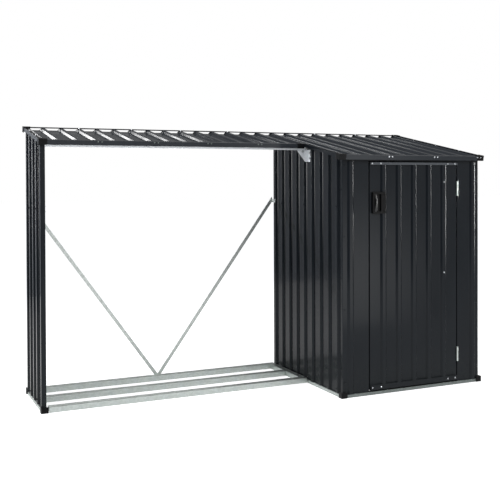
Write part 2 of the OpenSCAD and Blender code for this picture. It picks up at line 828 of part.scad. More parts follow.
module round_plate(w, h, r, t) {
    linear_extrude(height = t) {
        square([w - 2 * r, h], center = true);
        square([w, h - 2 * r], center = true);
        for (x = [-1, 1], y = [-1, 1]) translate([x * (w / 2 - r), y * (h / 2 - r)]) circle(r = r);
    }
}

// Room behind the handle for the rib that it covers, with a clearance
module handle_relief() {
    rise = wall_rib_h + seat;
    foot = rib_at - rib_base / 2 - seat;
    crest = rib_at - rib_crest / 2 - seat;
    rotate([90, 0, 0]) translate([0, 0, -handle_h])
        linear_extrude(height = 2 * handle_h)
            polygon([[foot, -1], [foot, 0], [crest, rise], [far, rise], [far, -1]]);
}

module door_handle() {
    pocket_w = pocket_x1 - pocket_x0;
    pocket_h = handle_h - 2 * pocket_rim;
    plastic() translate([handle_x, y_front_pan, handle_z]) rotate([90, 0, 0]) {
        difference() {
            round_plate(handle_w, handle_h, 8, handle_t);
            handle_relief();
            translate([pocket_x0 + pocket_w / 2, 0, handle_t - pocket_d])
                round_plate(pocket_w, pocket_h, 5, far);
        }
        intersection() {
            translate([handle_left + grip_in, 0, handle_t + grip_rise - bow_out])
                rotate([0, 90, 0]) rotate_extrude() translate([bow_out - grip_r, 0]) circle(r = grip_r);
            translate([-far / 2, -far / 2, handle_t - 1]) cube(far);
        }
    }
}

front_bearer();
middle_bearer();
back_bearer();
end_sill();
shed_side_bearer();
shed_front_sill();
shed_back_sill();
shed_left_sill();
shed_right_sill();
corner_feet();
end_wall();
end_front_post();
end_back_post();
end_wall_girt();
shed_left_wall();
shed_right_wall();
shed_back_wall();
front_left_panel();
front_right_panel();
shed_girts();
bay_eave_beam();
bay_back_beam();
shed_front_header();
shed_back_beam();
end_top_rail();
shed_left_top_rail();
shed_right_top_rail();
bay_roof();
shed_roof();
bay_eave_trim();
shed_eave_trim();
back_edge_trim();
left_verge_trim();
right_verge_trim();
step_verge_trim();
roof_corner_caps();
left_brace();
right_brace();
eave_bracket();
frame_hinge_leaves();
door_panel();
door_top_channel();
door_bottom_channel();
door_middle_channel();
door_handle();
door_hinge_leaves();
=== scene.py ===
"""Looks of a steel log store with a tool shed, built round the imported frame.

Rounded bends, coatings, screws, and a studio with the photograph's camera.
"""

from __future__ import annotations

import json
import logging
import math
from collections.abc import Callable, Iterable
from dataclasses import dataclass, field
from enum import Enum
from typing import Any

import bmesh
import bpy
from mathutils import Matrix, Vector

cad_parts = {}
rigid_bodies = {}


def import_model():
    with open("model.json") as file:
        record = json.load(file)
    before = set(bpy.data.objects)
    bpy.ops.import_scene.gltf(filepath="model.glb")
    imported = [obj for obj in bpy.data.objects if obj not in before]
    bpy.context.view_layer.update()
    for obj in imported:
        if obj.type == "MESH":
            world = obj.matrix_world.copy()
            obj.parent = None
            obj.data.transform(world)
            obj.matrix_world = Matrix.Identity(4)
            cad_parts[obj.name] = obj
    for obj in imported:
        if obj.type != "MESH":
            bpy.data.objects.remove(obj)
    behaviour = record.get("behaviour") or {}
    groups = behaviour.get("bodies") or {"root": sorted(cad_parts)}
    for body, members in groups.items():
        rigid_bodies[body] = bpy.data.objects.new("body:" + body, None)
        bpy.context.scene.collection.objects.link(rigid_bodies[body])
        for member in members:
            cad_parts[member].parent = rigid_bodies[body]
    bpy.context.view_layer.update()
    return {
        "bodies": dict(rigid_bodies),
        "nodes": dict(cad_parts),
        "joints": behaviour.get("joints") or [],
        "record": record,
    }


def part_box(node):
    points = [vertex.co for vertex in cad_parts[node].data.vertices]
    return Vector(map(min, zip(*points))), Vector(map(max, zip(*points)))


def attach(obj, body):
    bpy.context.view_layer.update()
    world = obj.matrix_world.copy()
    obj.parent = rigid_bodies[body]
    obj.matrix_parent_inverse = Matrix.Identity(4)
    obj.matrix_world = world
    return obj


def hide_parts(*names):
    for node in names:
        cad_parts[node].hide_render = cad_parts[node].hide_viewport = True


LOG = logging.getLogger("log_store")

Edge = bmesh.types.BMEdge
Mesh = bmesh.types.BMesh
Vert = bmesh.types.BMVert
Material = bpy.types.Material
Object = bpy.types.Object
Socket = bpy.types.NodeSocket
Tree = bpy.types.NodeTree
Frame = dict[str, Any]
Point = tuple[float, float]
Place = tuple[float, float, float]
Path = list[Point]
Spot = tuple[Vector, Vector]

OUT_LEFT = Vector((-1.0, 0.0, 0.0))
OUT_RIGHT = Vector((1.0, 0.0, 0.0))
OUT_FRONT = Vector((0.0, -1.0, 0.0))
OUT_BACK = Vector((0.0, 1.0, 0.0))
UP = Vector((0.0, 0.0, 1.0))
SAME = 1e-6  # metres within which two points are one
SHARP = 0.66  # radians from which an edge stays sharp
CORNER = 0.7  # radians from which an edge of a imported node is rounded
FLAT = 0.002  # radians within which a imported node's triangles are one face
WHITE = "#ffffff"


class Body(Enum):
    """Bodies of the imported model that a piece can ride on."""

    STORE = "store"
    DOOR = "door"


class Slot(Enum):
    """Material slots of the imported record."""

    SHEET = "anthracite_sheet"
    ZINC = "galvanised_steel"
    PLASTIC = "black_plastic"


def linear(text: str) -> tuple[float, float, float, float]:
    """Turn an sRGB hex colour into linear light.

    Args:
        text: Six hex digits with a leading hash.

    Returns:
        Red, green, blue and an alpha of 1.
    """
    parts = [int(text[i : i + 2], 16) / 255 for i in (1, 3, 5)]
    red, green, blue = (c / 12.92 if c <= 0.04045 else ((c + 0.055) / 1.055) ** 2.4 for c in parts)
    return red, green, blue, 1.0


def repeats(size_mm: float) -> float:
    """Scale of a pattern whose details have a real size: how many go into a metre."""
    return 1000 / size_mm


def add_node(
    tree: Tree, kind: str, inputs: dict[Any, Any] | None = None, out: int | str = 0, **settings: Any
) -> Socket | None:
    """Add a node with its settings, values and links.

    Sockets that share a name are given by number. A Mix node has 0 for its factor, 2 and 3 for
    numbers, 4 and 5 for vectors, 6 and 7 for colours. Map Range has 1 and 2 for the range that it
    reads, and 3 and 4 for the range that it gives.

    Args:
        tree: The node tree to add to.
        kind: The node's type name.
        inputs: Socket name or number to a value, or to the output socket that feeds it.
        out: Name or number of the output that is wanted.
        settings: Attributes of the node itself.

    Returns:
        The wanted output, or nothing where the node has none.
    """
    node = tree.nodes.new(kind)
    for name, value in settings.items():
        setattr(node, name, value)
    for name, value in (inputs or {}).items():
        if isinstance(value, bpy.types.NodeSocket):
            tree.links.new(value, node.inputs[name])
        else:
            node.inputs[name].default_value = value
    return node.outputs[out] if len(node.outputs) else None


def new_material(name: str, surface: Callable[[Tree], Socket]) -> Material:
    """Make a node material.

    Args:
        name: The material's name.
        surface: Takes a node tree and gives the shader output to show.

    Returns:
        The material.
    """
    material = bpy.data.materials.new(name)
    material.use_nodes = True
    tree = material.node_tree
    tree.nodes.clear()
    add_node(tree, "ShaderNodeOutputMaterial", {"Surface": surface(tree)})
    return material


def tell_rays(tree: Tree) -> tuple[Socket, Socket]:
    """Tell rays apart by what sends them.

    Args:
        tree: The node tree to add to.

    Returns:
        An output that is 1 for rays from the camera or through glass, and one for rays from gloss.
    """
    path = add_node(tree, "ShaderNodeLightPath").node.outputs
    direct = {0: path["Is Camera Ray"], 1: path["Is Transmission Ray"]}
    return add_node(tree, "ShaderNodeMath", direct, operation="MAXIMUM"), path["Is Glossy Ray"]


@dataclass(frozen=True)
class Finish:
    """A finish of the real part, drawn on Object coordinates."""

    name: str

    def sockets(self, tree: Tree, place: Socket) -> dict[str, Any]:
        """Add the finish's patterns.

        Args:
            tree: The material's node tree.
            place: Object coordinates in metres.

        Returns:
            Values and links of the shader's sockets.
        """
        raise NotImplementedError

    def surface(self, tree: Tree) -> Socket:
        """Shader of the finish, fed by its patterns."""
        place = add_node(tree, "ShaderNodeTexCoord", out="Object")
        return add_node(tree, "ShaderNodeBsdfPrincipled", self.sockets(tree, place))

    def material(self) -> Material:
        """Material of the finish."""
        return new_material(self.name, self.surface)


@dataclass(frozen=True)
class CoatedSteel(Finish):
    """Coil-coated sheet steel: a smooth polyester paint, rolled on flat and then folded.

    The eye sees deep anthracite with clear, slightly wavy reflections, because thin sheet
    never lies quite flat.
    """

    name: str = "coil_coated_steel_anthracite"
    base: str = "#171a1e"
    faded: str = "#1f2327"
    dust: str = "#4c4e49"
    roughness: float = 0.1
    specular: float = 0.12
    ripple: float = 0.2
    cloud_mm: float = 260.0
    dust_mm: float = 14.0
    ripple_mm: float = 190.0
    peel_mm: float = 9.0
    stretch: float = 0.35
    splash_h: float = 0.28
    dust_share: float = 0.16

    def sockets(self, tree: Tree, place: Socket) -> dict[str, Any]:
        """Add clouded paint with a veil of dust low down, over waves and orange peel.

        Args:
            tree: The material's node tree.
            place: Object coordinates in metres.

        Returns:
            Values and links of the shader's sockets.
        """
        long = add_node(tree, "ShaderNodeMapping", {"Vector": place, "Scale": (1.0, 1.0, self.stretch)})
        cloud = add_node(
            tree,
            "ShaderNodeTexNoise",
            {"Vector": long, "Scale": repeats(self.cloud_mm), "Detail": 4.0, "Roughness": 0.6},
        )
        fine = add_node(
            tree,
            "ShaderNodeTexNoise",
            {"Vector": place, "Scale": repeats(self.dust_mm), "Detail": 3.0, "Roughness": 0.55},
        )
        tones = {0: cloud, 6: linear(self.base), 7: linear(self.faded)}
        paint = add_node(tree, "ShaderNodeMix", tones, 2, data_type="RGBA")
        height = add_node(tree, "ShaderNodeSeparateXYZ", {0: place}, "Z")
        low = add_node(
            tree,
            "ShaderNodeMapRange",
            {"Value": height, 1: 0.0, 2: self.splash_h, 3: 1.0, 4: 0.0},
            interpolation_type="SMOOTHSTEP",
        )
        splash = add_node(tree, "ShaderNodeMath", {0: low, 1: fine}, operation="MULTIPLY")
        veil = add_node(tree, "ShaderNodeMath", {0: splash, 1: self.dust_share}, operation="MULTIPLY")
        dusted = {0: veil, 6: paint, 7: linear(self.dust)}
        uneven = {"Value": cloud, 1: 0.3, 2: 0.7, 3: self.roughness - 0.03, 4: self.roughness + 0.05}
        rough = add_node(tree, "ShaderNodeMapRange", uneven)
        ripple = add_node(
            tree, "ShaderNodeTexNoise", {"Vector": long, "Scale": repeats(self.ripple_mm), "Detail": 1.0}
        )
        waves = {"Strength": self.ripple, "Distance": 0.0035, "Height": ripple}
        wave = add_node(tree, "ShaderNodeBump", waves)
        # Orange peel of the paint is about 2 mm across; it is drawn coarser, so that it shows at all.
        peel = add_node(
            tree, "ShaderNodeTexNoise", {"Vector": place, "Scale": repeats(self.peel_mm), "Detail": 2.0}
        )
        skin = {"Strength": 0.03, "Distance": 0.001, "Height": peel, "Normal": wave}
        return {
            "Base Color": add_node(tree, "ShaderNodeMix", dusted, 2, data_type="RGBA"),
            "Roughness": add_node(tree, "ShaderNodeMath", {0: rough, 1: veil}, operation="ADD"),
            "Normal": add_node(tree, "ShaderNodeBump", skin),
            "IOR": 1.5,
            "Specular IOR Level": self.specular,
        }


@dataclass(frozen=True)
class GalvanisedSteel(Finish):
    """Hot-dip galvanised strip: zinc crystals frozen on steel, then roll-formed.

    The eye sees a pale grey-green metal with soft reflections, a faint patchwork of spangle
    and lengthwise draw lines.
    """

    name: str = "hot_dip_galvanised_steel"
    bright: str = "#c4cac7"
    dull: str = "#b0b7b3"
    roughness: float = 0.4
    warp_mm: float = 18.0
    spangle_mm: float = 11.0
    draw_mm: float = 3.0

    def sockets(self, tree: Tree, place: Socket) -> dict[str, Any]:
        """Add the spangle and the draw lines.

        Args:
            tree: The material's node tree.
            place: Object coordinates in metres.

        Returns:
            Values and links of the shader's sockets.
        """
        warp = {"Vector": place, "Scale": repeats(self.warp_mm), "Detail": 2.0}
        bent = add_node(tree, "ShaderNodeTexNoise", warp, "Color")
        shifted = add_node(tree, "ShaderNodeMix", {0: 0.012, 4: place, 5: bent}, 1, data_type="VECTOR")
        cells = {"Vector": shifted, "Scale": repeats(self.spangle_mm)}
        spangle = add_node(tree, "ShaderNodeTexVoronoi", cells, "Color")
        grey = add_node(tree, "ShaderNodeSeparateColor", {0: spangle})
        draw = add_node(tree, "ShaderNodeMapping", {"Vector": place, "Scale": (0.04, 1.0, 1.0)})
        lines = add_node(
            tree, "ShaderNodeTexNoise", {"Vector": draw, "Scale": repeats(self.draw_mm), "Detail": 2.0}
        )
        mixed = add_node(tree, "ShaderNodeMix", {0: 0.45, 2: grey, 3: lines}, data_type="FLOAT")
        tones = {0: mixed, 6: linear(self.dull), 7: linear(self.bright)}
        rough = {"Value": grey, 3: self.roughness + 0.03, 4: self.roughness - 0.03}
        skin = {"Strength": 0.05, "Distance": 0.0006, "Height": lines}
        return {
            "Base Color": add_node(tree, "ShaderNodeMix", tones, 2, data_type="RGBA"),
            "Metallic": 1.0,
            "Roughness": add_node(tree, "ShaderNodeMapRange", rough),
            "Normal": add_node(tree, "ShaderNodeBump", skin),
        }


@dataclass(frozen=True)
class MouldedPlastic(Finish):
    """Injection-moulded black polypropylene with a fine spark-eroded grain.

    The eye sees a near-black satin with soft, broken highlights along its rounded edges.
    """

    name: str = "polypropylene_black"
    base: str = "#070708"
    worn: str = "#0d0e0f"
    roughness: float = 0.36
    specular: float = 0.12
    cloud_mm: float = 30.0
    grain_mm: float = 1.6

    def sockets(self, tree: Tree, place: Socket) -> dict[str, Any]:
        """Add worn patches and the mould's grain.

        Args:
            tree: The material's node tree.
            place: Object coordinates in metres.

        Returns:
            Values and links of the shader's sockets.
        """
        cloud = add_node(
            tree, "ShaderNodeTexNoise", {"Vector": place, "Scale": repeats(self.cloud_mm), "Detail": 3.0}
        )
        grain = add_node(
            tree, "ShaderNodeTexNoise", {"Vector": place, "Scale": repeats(self.grain_mm), "Detail": 1.0}
        )
        tones = {0: cloud, 6: linear(self.base), 7: linear(self.worn)}
        rough = {"Value": cloud, 1: 0.3, 2: 0.7, 3: self.roughness - 0.05, 4: self.roughness + 0.07}
        skin = {"Strength": 0.15, "Distance": 0.0004, "Height": grain}
        return {
            "Base Color": add_node(tree, "ShaderNodeMix", tones, 2, data_type="RGBA"),
            "Roughness": add_node(tree, "ShaderNodeMapRange", rough),
            "Normal": add_node(tree, "ShaderNodeBump", skin),
            "IOR": 1.49,
            "Specular IOR Level": self.specular,
        }


@dataclass(frozen=True)
class ZincPlatedScrew(Finish):
    """Bright zinc-plated screw steel: smooth, faintly blue, with clear highlights."""

    name: str = "zinc_plated_steel"
    base: str = "#d5d8dc"
    roughness: float = 0.26
    cloud_mm: float = 4.0

    def sockets(self, tree: Tree, place: Socket) -> dict[str, Any]:
        """Add the plating's uneven gloss.

        Args:
            tree: The material's node tree.
            place: Object coordinates in metres.

        Returns:
            Values and links of the shader's sockets.
        """
        cloud = add_node(
            tree, "ShaderNodeTexNoise", {"Vector": place, "Scale": repeats(self.cloud_mm), "Detail": 2.0}
        )
        rough = {"Value": cloud, 3: self.roughness - 0.08, 4: self.roughness + 0.12}
        return {
            "Base Color": linear(self.base),
            "Metallic": 1.0,
            "Roughness": add_node(tree, "ShaderNodeMapRange", rough),
        }


def made(finish: Finish) -> Any:
    """Field of a dataclass that holds a finish's material, built with the dataclass."""
    return field(default_factory=finish.material)


@dataclass
class Finishes:
    """The materials in use, each made once."""

    sheet: Material = made(CoatedSteel())
    zinc: Material = made(GalvanisedSteel())
    # Zinc darkened to a dull mid grey as painted shade, on the shed's sills.
    zinc_painted_shade: Material = made(
        GalvanisedSteel("hot_dip_galvanised_steel_painted_shade", "#7a807e", "#646a68", 0.5)
    )
    # Even, pale zinc with hardly a reflection, painted almost white as painted light and reflection, on the
    # eave bracket and the bay's eave beam.
    zinc_painted_light: Material = made(GalvanisedSteel("galvanised_steel_painted_light", "#f6f8fa", "#eaedf0", 0.7))
    # The roof's coat lies flatter than the walls' and is painted greyer, as painted light for its facing the
    # light.
    roof: Material = made(
        CoatedSteel("coil_coated_steel_anthracite_roof_painted_light", "#292c30", "#323539", ripple=0.08)
    )
    # Flat bar of the braces: a middle grey with broad, soft reflections.
    grey_zinc: Material = made(GalvanisedSteel("galvanised_steel_flat_bar", "#cdd2cf", "#adb2af", 0.5))
    # Satin coat on the door's top channel, painted paler as painted light, so that it shows as a paler line.
    strip: Material = made(
        CoatedSteel("coil_coated_steel_anthracite_satin_painted_light", "#4b4e52", "#55585c", roughness=0.3)
    )
    plastic: Material = made(MouldedPlastic())
    # The grip is polished by hands and has a clear highlight along its bow.
    polished: Material = made(MouldedPlastic("polypropylene_black_polished", roughness=0.16, specular=0.5))
    screw: Material = made(ZincPlatedScrew())


@dataclass(frozen=True)
class Layout:
    """Set-out of the store in metres, on the same lines as the solids."""

    x_end: float = -1.2335
    x_shed: float = 0.2985
    x_right: float = 1.2405
    y_front: float = -0.449318
    y_bay: float = -0.024318
    y_back: float = 0.470682
    eave_h: float = 1.341
    head_drop: float = 0.020
    pitch: float = math.radians(10.0)
    overhang: float = 0.022
    side_overhang: float = 0.010
    right_overhang: float = 0.003
    back_overhang: float = 0.002
    seat: float = 0.0003
    sheet: float = 0.0006
    rib_pitch: float = 0.102
    rib_crest: float = 0.020
    rib_base: float = 0.040
    rib_room: float = 0.002
    wall_rib: float = 0.011
    roof_rib: float = 0.014
    sheet_ribs: int = 3
    lap_lift: float = 0.0008
    back_rib_in: float = 0.041
    fold: float = 0.022
    corner_out: float = 0.0102
    trim: float = 0.0008
    trim_bend: float = 0.0010
    sill_h: float = 0.018
    sill_w: float = 0.034
    sill_in: float = 0.002
    rail_h: float = 0.030
    rail_w: float = 0.045
    rail: float = 0.0012
    rail_bend: float = 0.0012
    hinge_round: float = 0.0005

    @property
    def roof_z(self) -> float:
        """Height of the roof pans' underside over the shed's front line."""
        return self.eave_h - (self.roof_rib + self.sheet) / math.cos(self.pitch)

    @property
    def head_z(self) -> float:
        """Height of the header's lower edge over the doorway."""
        return self.roof_z - self.head_drop

    @property
    def front_pan(self) -> float:
        """Front-to-back line of the front panels' pans."""
        return self.y_front + self.wall_rib

    @property
    def bay_pan(self) -> float:
        """Front-to-back line of the end wall's post and of the bay's eave beam."""
        return self.y_bay + self.wall_rib

    @property
    def edge(self) -> float:
        """Room that a trim takes at a roof sheet's edge."""
        return self.trim + self.seat

    @property
    def trim_w(self) -> float:
        """Height of the trims' top flange over the pans' underside."""
        return self.sheet + self.roof_rib + self.trim

    @property
    def roof_frame(self) -> Matrix:
        """The roof's own frame: X along the eave, Y up the slope, Z out of the roof."""
        return Matrix.Translation((0.0, self.y_front, self.roof_z)) @ Matrix.Rotation(self.pitch, 4, "X")

    @property
    def roof_cut(self) -> Spot:
        """Plane just under the roof pans that trims the walls."""
        frame = self.roof_frame
        return frame @ Vector((0.0, 0.0, -self.seat)), frame.to_3x3() @ UP

    @property
    def right_side(self) -> Matrix:
        """Mirror that carries the shed's left side over to its right side."""
        return Matrix.Translation((self.x_shed + self.x_right, 0.0, 0.0)) @ Matrix.Scale(-1.0, 4, OUT_RIGHT)

    def slope(self, y: float) -> float:
        """Distance up the slope at a front-to-back line."""
        return (y - self.y_front) / math.cos(self.pitch)

    def roof_under(self, y: float) -> float:
        """Height of the roof pans' underside at a front-to-back line."""
        return self.roof_z + (y - self.y_front) * math.tan(self.pitch)

    def side_face(self, x_pan: float, y0: float) -> Matrix:
        """Place of a wall that faces the left: its profile runs front to back, its length goes up."""
        return Matrix.Translation((x_pan, y0, self.sill_h)) @ Matrix.Rotation(math.pi / 2, 4, "Z")

    def front_face(self, z: float, pan: float) -> Matrix:
        """Place of a sheet that faces the front: its profile runs left to right, its length goes up."""
        return Matrix.Translation((0.0, pan, z)) @ Matrix.Scale(-1.0, 4, OUT_BACK)

    def rib_run(self, first: float, last: float) -> list[float]:
        """Rib centres a pitch apart, from the first to the last that has room."""
        count = math.floor((last - first) / self.rib_pitch + SAME)
        return [first + i * self.rib_pitch for i in range(count + 1)]

    def rib(self, centre: float, height: float) -> Path:
        """One rib's four bends."""
        foot, top = self.rib_base / 2, self.rib_crest / 2
        return [(centre - foot, 0.0), (centre - top, height), (centre + top, height), (centre + foot, 0.0)]

    def lap_rib(self, centre: float, height: float) -> Path:
        """Set out the first rib of a sheet that laps over its neighbour.

        Args:
            centre: The rib's centre.
            height: The rib's height.

        Returns:
            Its bends, with the near flank stopping short of the pan.
        """
        bends = self.rib(centre, height)
        slope = (self.rib_base - self.rib_crest) / 2
        bends[0] = (bends[0][0] + slope * self.lap_lift / height, self.lap_lift)
        return bends

    def lapped(
        self, ribs: list[float], height: float, head: Path, tail: Path, whole: bool = False
    ) -> list[Path]:
        """Set out a run of lapped sheets.

        Args:
            ribs: The ribs' centres.
            height: The ribs' height.
            head: The first sheet's edge, up to its first rib's far foot.
            tail: The last sheet's edge.
            whole: Whether the run is one wide sheet.

        Returns:
            The outer face of each sheet as a path.
        """
        count = 1 if whole else max(1, round(len(ribs) / self.sheet_ribs))
        paths = []
        for k in range(count):
            first = k * self.sheet_ribs
            last = len(ribs) if k == count - 1 else first + self.sheet_ribs
            path = list(head) if k == 0 else self.lap_rib(ribs[first], height)
            for centre in ribs[first + 1 : last]:
                path += self.rib(centre, height)
            path += tail if k == count - 1 else [(ribs[last] + self.rib_crest / 2, 0.0)]
            paths.append(path)
        return paths


def along_x(x0: float) -> Matrix:
    """Place of a profile in the YZ plane that is drawn out along +X from x0."""
    return Matrix(((0, 0, 1, x0), (1, 0, 0, 0), (0, 1, 0, 0), (0, 0, 0, 1)))


def along_y(y1: float) -> Matrix:
    """Place of a profile in the XZ plane that is drawn out along -Y from y1."""
    return Matrix(((1, 0, 0, 0), (0, 0, -1, y1), (0, 1, 0, 0), (0, 0, 0, 1)))


def round_off(mesh: Mesh, geom: list[Any], radius: float, steps: int, affect: str = "EDGES") -> None:
    """Round edges or corners of a mesh.

    Args:
        mesh: The mesh to change.
        geom: Its edges or vertices to round.
        radius: Size of the rounding in metres.
        steps: Faces across the rounding.
        affect: EDGES or VERTICES.
    """
    bmesh.ops.bevel(
        mesh,
        geom=geom,
        offset=radius,
        offset_type="OFFSET",
        affect=affect,
        segments=steps,
        profile=0.5,
        material=-1,
        clamp_overlap=True,
    )


def slice_mesh(mesh: Mesh, point: Any, normal: Any, trim: bool = False) -> None:
    """Cut a mesh along a plane.

    Args:
        mesh: The mesh to change.
        point: A point on the plane.
        normal: The plane's direction.
        trim: Whether what lies beyond the plane is taken off.
    """
    bmesh.ops.bisect_plane(
        mesh,
        geom=mesh.verts[:] + mesh.edges[:] + mesh.faces[:],
        dist=SAME,
        plane_co=point,
        plane_no=normal,
        clear_outer=trim,
    )


@dataclass
class FoldedSheet:
    """A strip of sheet metal: a bent outer face, drawn out, with rounded bends and a thickness."""

    path: Path
    place: Matrix
    length: float
    thickness: float
    bend: float = 0.0018
    steps: int = 3
    cut: Spot | None = None

    def build(self) -> Mesh:
        """Draw the profile out, round its bends, trim it and give it its thickness.

        Returns:
            A closed mesh at its place.
        """
        mesh = bmesh.new()
        bends = [mesh.verts.new((a, b, 0.0)) for a, b in self.path]
        edges = [mesh.edges.new(pair) for pair in zip(bends, bends[1:])]
        drawn = bmesh.ops.extrude_edge_only(mesh, edges=edges)["geom"]
        far = [item for item in drawn if isinstance(item, Vert)]
        bmesh.ops.translate(mesh, verts=far, vec=(0.0, 0.0, self.length))
        mesh.normal_update()
        (a0, b0), (a1, b1) = self.path[:2]
        if bends[0].link_faces[0].normal.dot(Vector((b0 - b1, a1 - a0, 0.0))) < 0:
            bmesh.ops.reverse_faces(mesh, faces=mesh.faces[:])
        folds = [edge for edge in mesh.edges if len(edge.link_faces) == 2]
        round_off(mesh, folds, self.bend, self.steps)
        bmesh.ops.transform(mesh, matrix=self.place, verts=mesh.verts[:])
        if self.place.determinant() < 0:
            bmesh.ops.reverse_faces(mesh, faces=mesh.faces[:])
        if self.cut:
            slice_mesh(mesh, *self.cut, trim=True)
        mesh.normal_update()
        bmesh.ops.solidify(mesh, geom=mesh.faces[:], thickness=self.thickness)
        return mesh


def pour(part: Mesh, whole: Mesh) -> None:
    """Add a mesh to another.

    Args:
        part: The mesh to add, which is freed.
        whole: The mesh that takes it in.
    """
    data = bpy.data.meshes.new("part")
    part.to_mesh(data)
    part.free()
    whole.from_mesh(data)
    bpy.data.meshes.remove(data)


def link_mesh(name: str, mesh: Mesh, material: Material) -> Object:
    """Put a bmesh into the scene as an object.

    Args:
        name: The object's name.
        mesh: The shape, which is freed.
        material: Its material.

    Returns:
        The new object.
    """
    data = bpy.data.meshes.new(name)
    mesh.to_mesh(data)
    mesh.free()
    data.materials.append(material)
    item = bpy.data.objects.new(name, data)
    bpy.context.scene.collection.objects.link(item)
    return item


def make_piece(
    name: str,
    mesh: Mesh,
    material: Material,
    slot: Slot,
    node: str | None = None,
    body: Body = Body.STORE,
) -> None:
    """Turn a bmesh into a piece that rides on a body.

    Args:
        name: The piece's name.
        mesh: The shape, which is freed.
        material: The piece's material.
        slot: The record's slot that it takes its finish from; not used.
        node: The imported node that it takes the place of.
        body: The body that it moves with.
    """
    for face in mesh.faces:
        face.smooth = True
    for edge in mesh.edges:
        edge.smooth = not (len(edge.link_faces) == 2 and edge.calc_face_angle() > SHARP)
    piece = link_mesh(name, mesh, material)
    even = piece.modifiers.new("even_normals", "WEIGHTED_NORMAL")
    even.keep_sharp = True
    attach(piece, body.value)
    if node:
        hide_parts(node)
    LOG.info("built %s with %d faces", name, len(piece.data.polygons))


def bend_piece(
    node: str,
    sheets: Iterable[FoldedSheet],
    material: Material,
    slot: Slot,
    body: Body = Body.STORE,
) -> None:
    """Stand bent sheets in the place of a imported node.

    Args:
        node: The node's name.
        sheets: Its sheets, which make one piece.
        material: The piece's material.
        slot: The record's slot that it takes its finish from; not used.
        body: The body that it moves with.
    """
    mesh = bmesh.new()
    for sheet in sheets:
        pour(sheet.build(), mesh)
    make_piece(f"{node}_bent", mesh, material, slot, node, body)


def dress_nodes(frame: Frame, names: Iterable[str], material: Material) -> None:
    """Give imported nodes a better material.

    Args:
        names: The nodes' names.
        material: The material that they get.
    """
    for name in names:
        mesh = frame["nodes"][name].data
        mesh.materials.clear()
        mesh.materials.append(material)
        LOG.info("dressed %s", name)


def soften(
    frame: Frame,
    node: str,
    radius: float,
    material: Material,
    slot: Slot,
    steps: int = 3,
    body: Body = Body.STORE,
) -> None:
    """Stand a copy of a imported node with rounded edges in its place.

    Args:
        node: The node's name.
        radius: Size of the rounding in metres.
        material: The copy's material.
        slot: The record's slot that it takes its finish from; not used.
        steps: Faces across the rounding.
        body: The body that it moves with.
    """
    mesh = bmesh.new()
    mesh.from_mesh(frame["nodes"][node].data)
    bmesh.ops.remove_doubles(mesh, verts=mesh.verts[:], dist=SAME)
    bmesh.ops.dissolve_limit(mesh, angle_limit=FLAT, verts=mesh.verts[:], edges=mesh.edges[:])
    edges = [edge for edge in mesh.edges if len(edge.link_faces) == 2 and edge.calc_face_angle() > CORNER]
    round_off(mesh, edges, radius, steps)
    make_piece(f"{node}_rounded", mesh, material, slot, node, body)


@dataclass
class ScrewGroup:
    """A group of pan-head screws with washers and a sunk drive, as one mesh.

    The last six sizes are shares of the radius or the height that they belong to.
    """

    name: str
    body: Body = Body.STORE
    radius: float = 0.0036
    height: float = 0.0024
    washer: float = 0.0048
    washer_span: Point = (-0.0004, 0.0010)
    foot: float = 0.0009
    segments: int = 12
    washer_taper: float = 0.92
    brim: float = 0.94
    shoulder: Point = (0.5, 0.55)
    crown: float = 0.6
    drive_rim: float = 0.18
    drive_depth: float = 0.4

    def step(self, mesh: Mesh, seat: Matrix, span: Point, radii: Point) -> bmesh.types.BMFace:
        """Add a closed round step.

        Args:
            mesh: The mesh to add to.
            seat: The screw's own frame, with Z out of the sheet.
            span: Lower and upper height.
            radii: Radius at each of them.

        Returns:
            The step's top face.
        """
        low, high = span
        verts = bmesh.ops.create_cone(
            mesh,
            cap_ends=True,
            segments=self.segments,
            radius1=radii[0],
            radius2=radii[1],
            depth=high - low,
            matrix=seat @ Matrix.Translation((0.0, 0.0, (low + high) / 2)),
        )["verts"]
        faces = {face for vert in verts for face in vert.link_faces}
        centre, out = seat.translation, seat.to_3x3() @ UP
        return max(faces, key=lambda face: (face.calc_center_median() - centre).dot(out))

    def build(self, spots: list[Spot], material: Material, slot: Slot = Slot.ZINC) -> None:
        """Make the heads and their washers.

        Args:
            spots: Seat point and outward direction of each screw.
            material: The screws' material.
            slot: The record's slot that they take their finish from; not used.
        """
        mesh = bmesh.new()
        foot, tall, brim = self.foot, self.height, self.radius * self.brim
        for point, out in spots:
            seat = Matrix.Translation(point) @ out.to_track_quat("Z", "Y").to_matrix().to_4x4()
            self.step(mesh, seat, self.washer_span, (self.washer, self.washer * self.washer_taper))
            self.step(mesh, seat, (foot, foot + tall * self.shoulder[1]), (self.radius, brim))
            span = (foot + tall * self.shoulder[0], foot + tall)
            top = self.step(mesh, seat, span, (brim, self.radius * self.crown))
            bmesh.ops.inset_region(mesh, faces=[top], thickness=self.radius * self.drive_rim, depth=0.0)
            bmesh.ops.translate(mesh, verts=top.verts[:], vec=-out * tall * self.drive_depth)
        make_piece(self.name, mesh, material, slot, body=self.body)


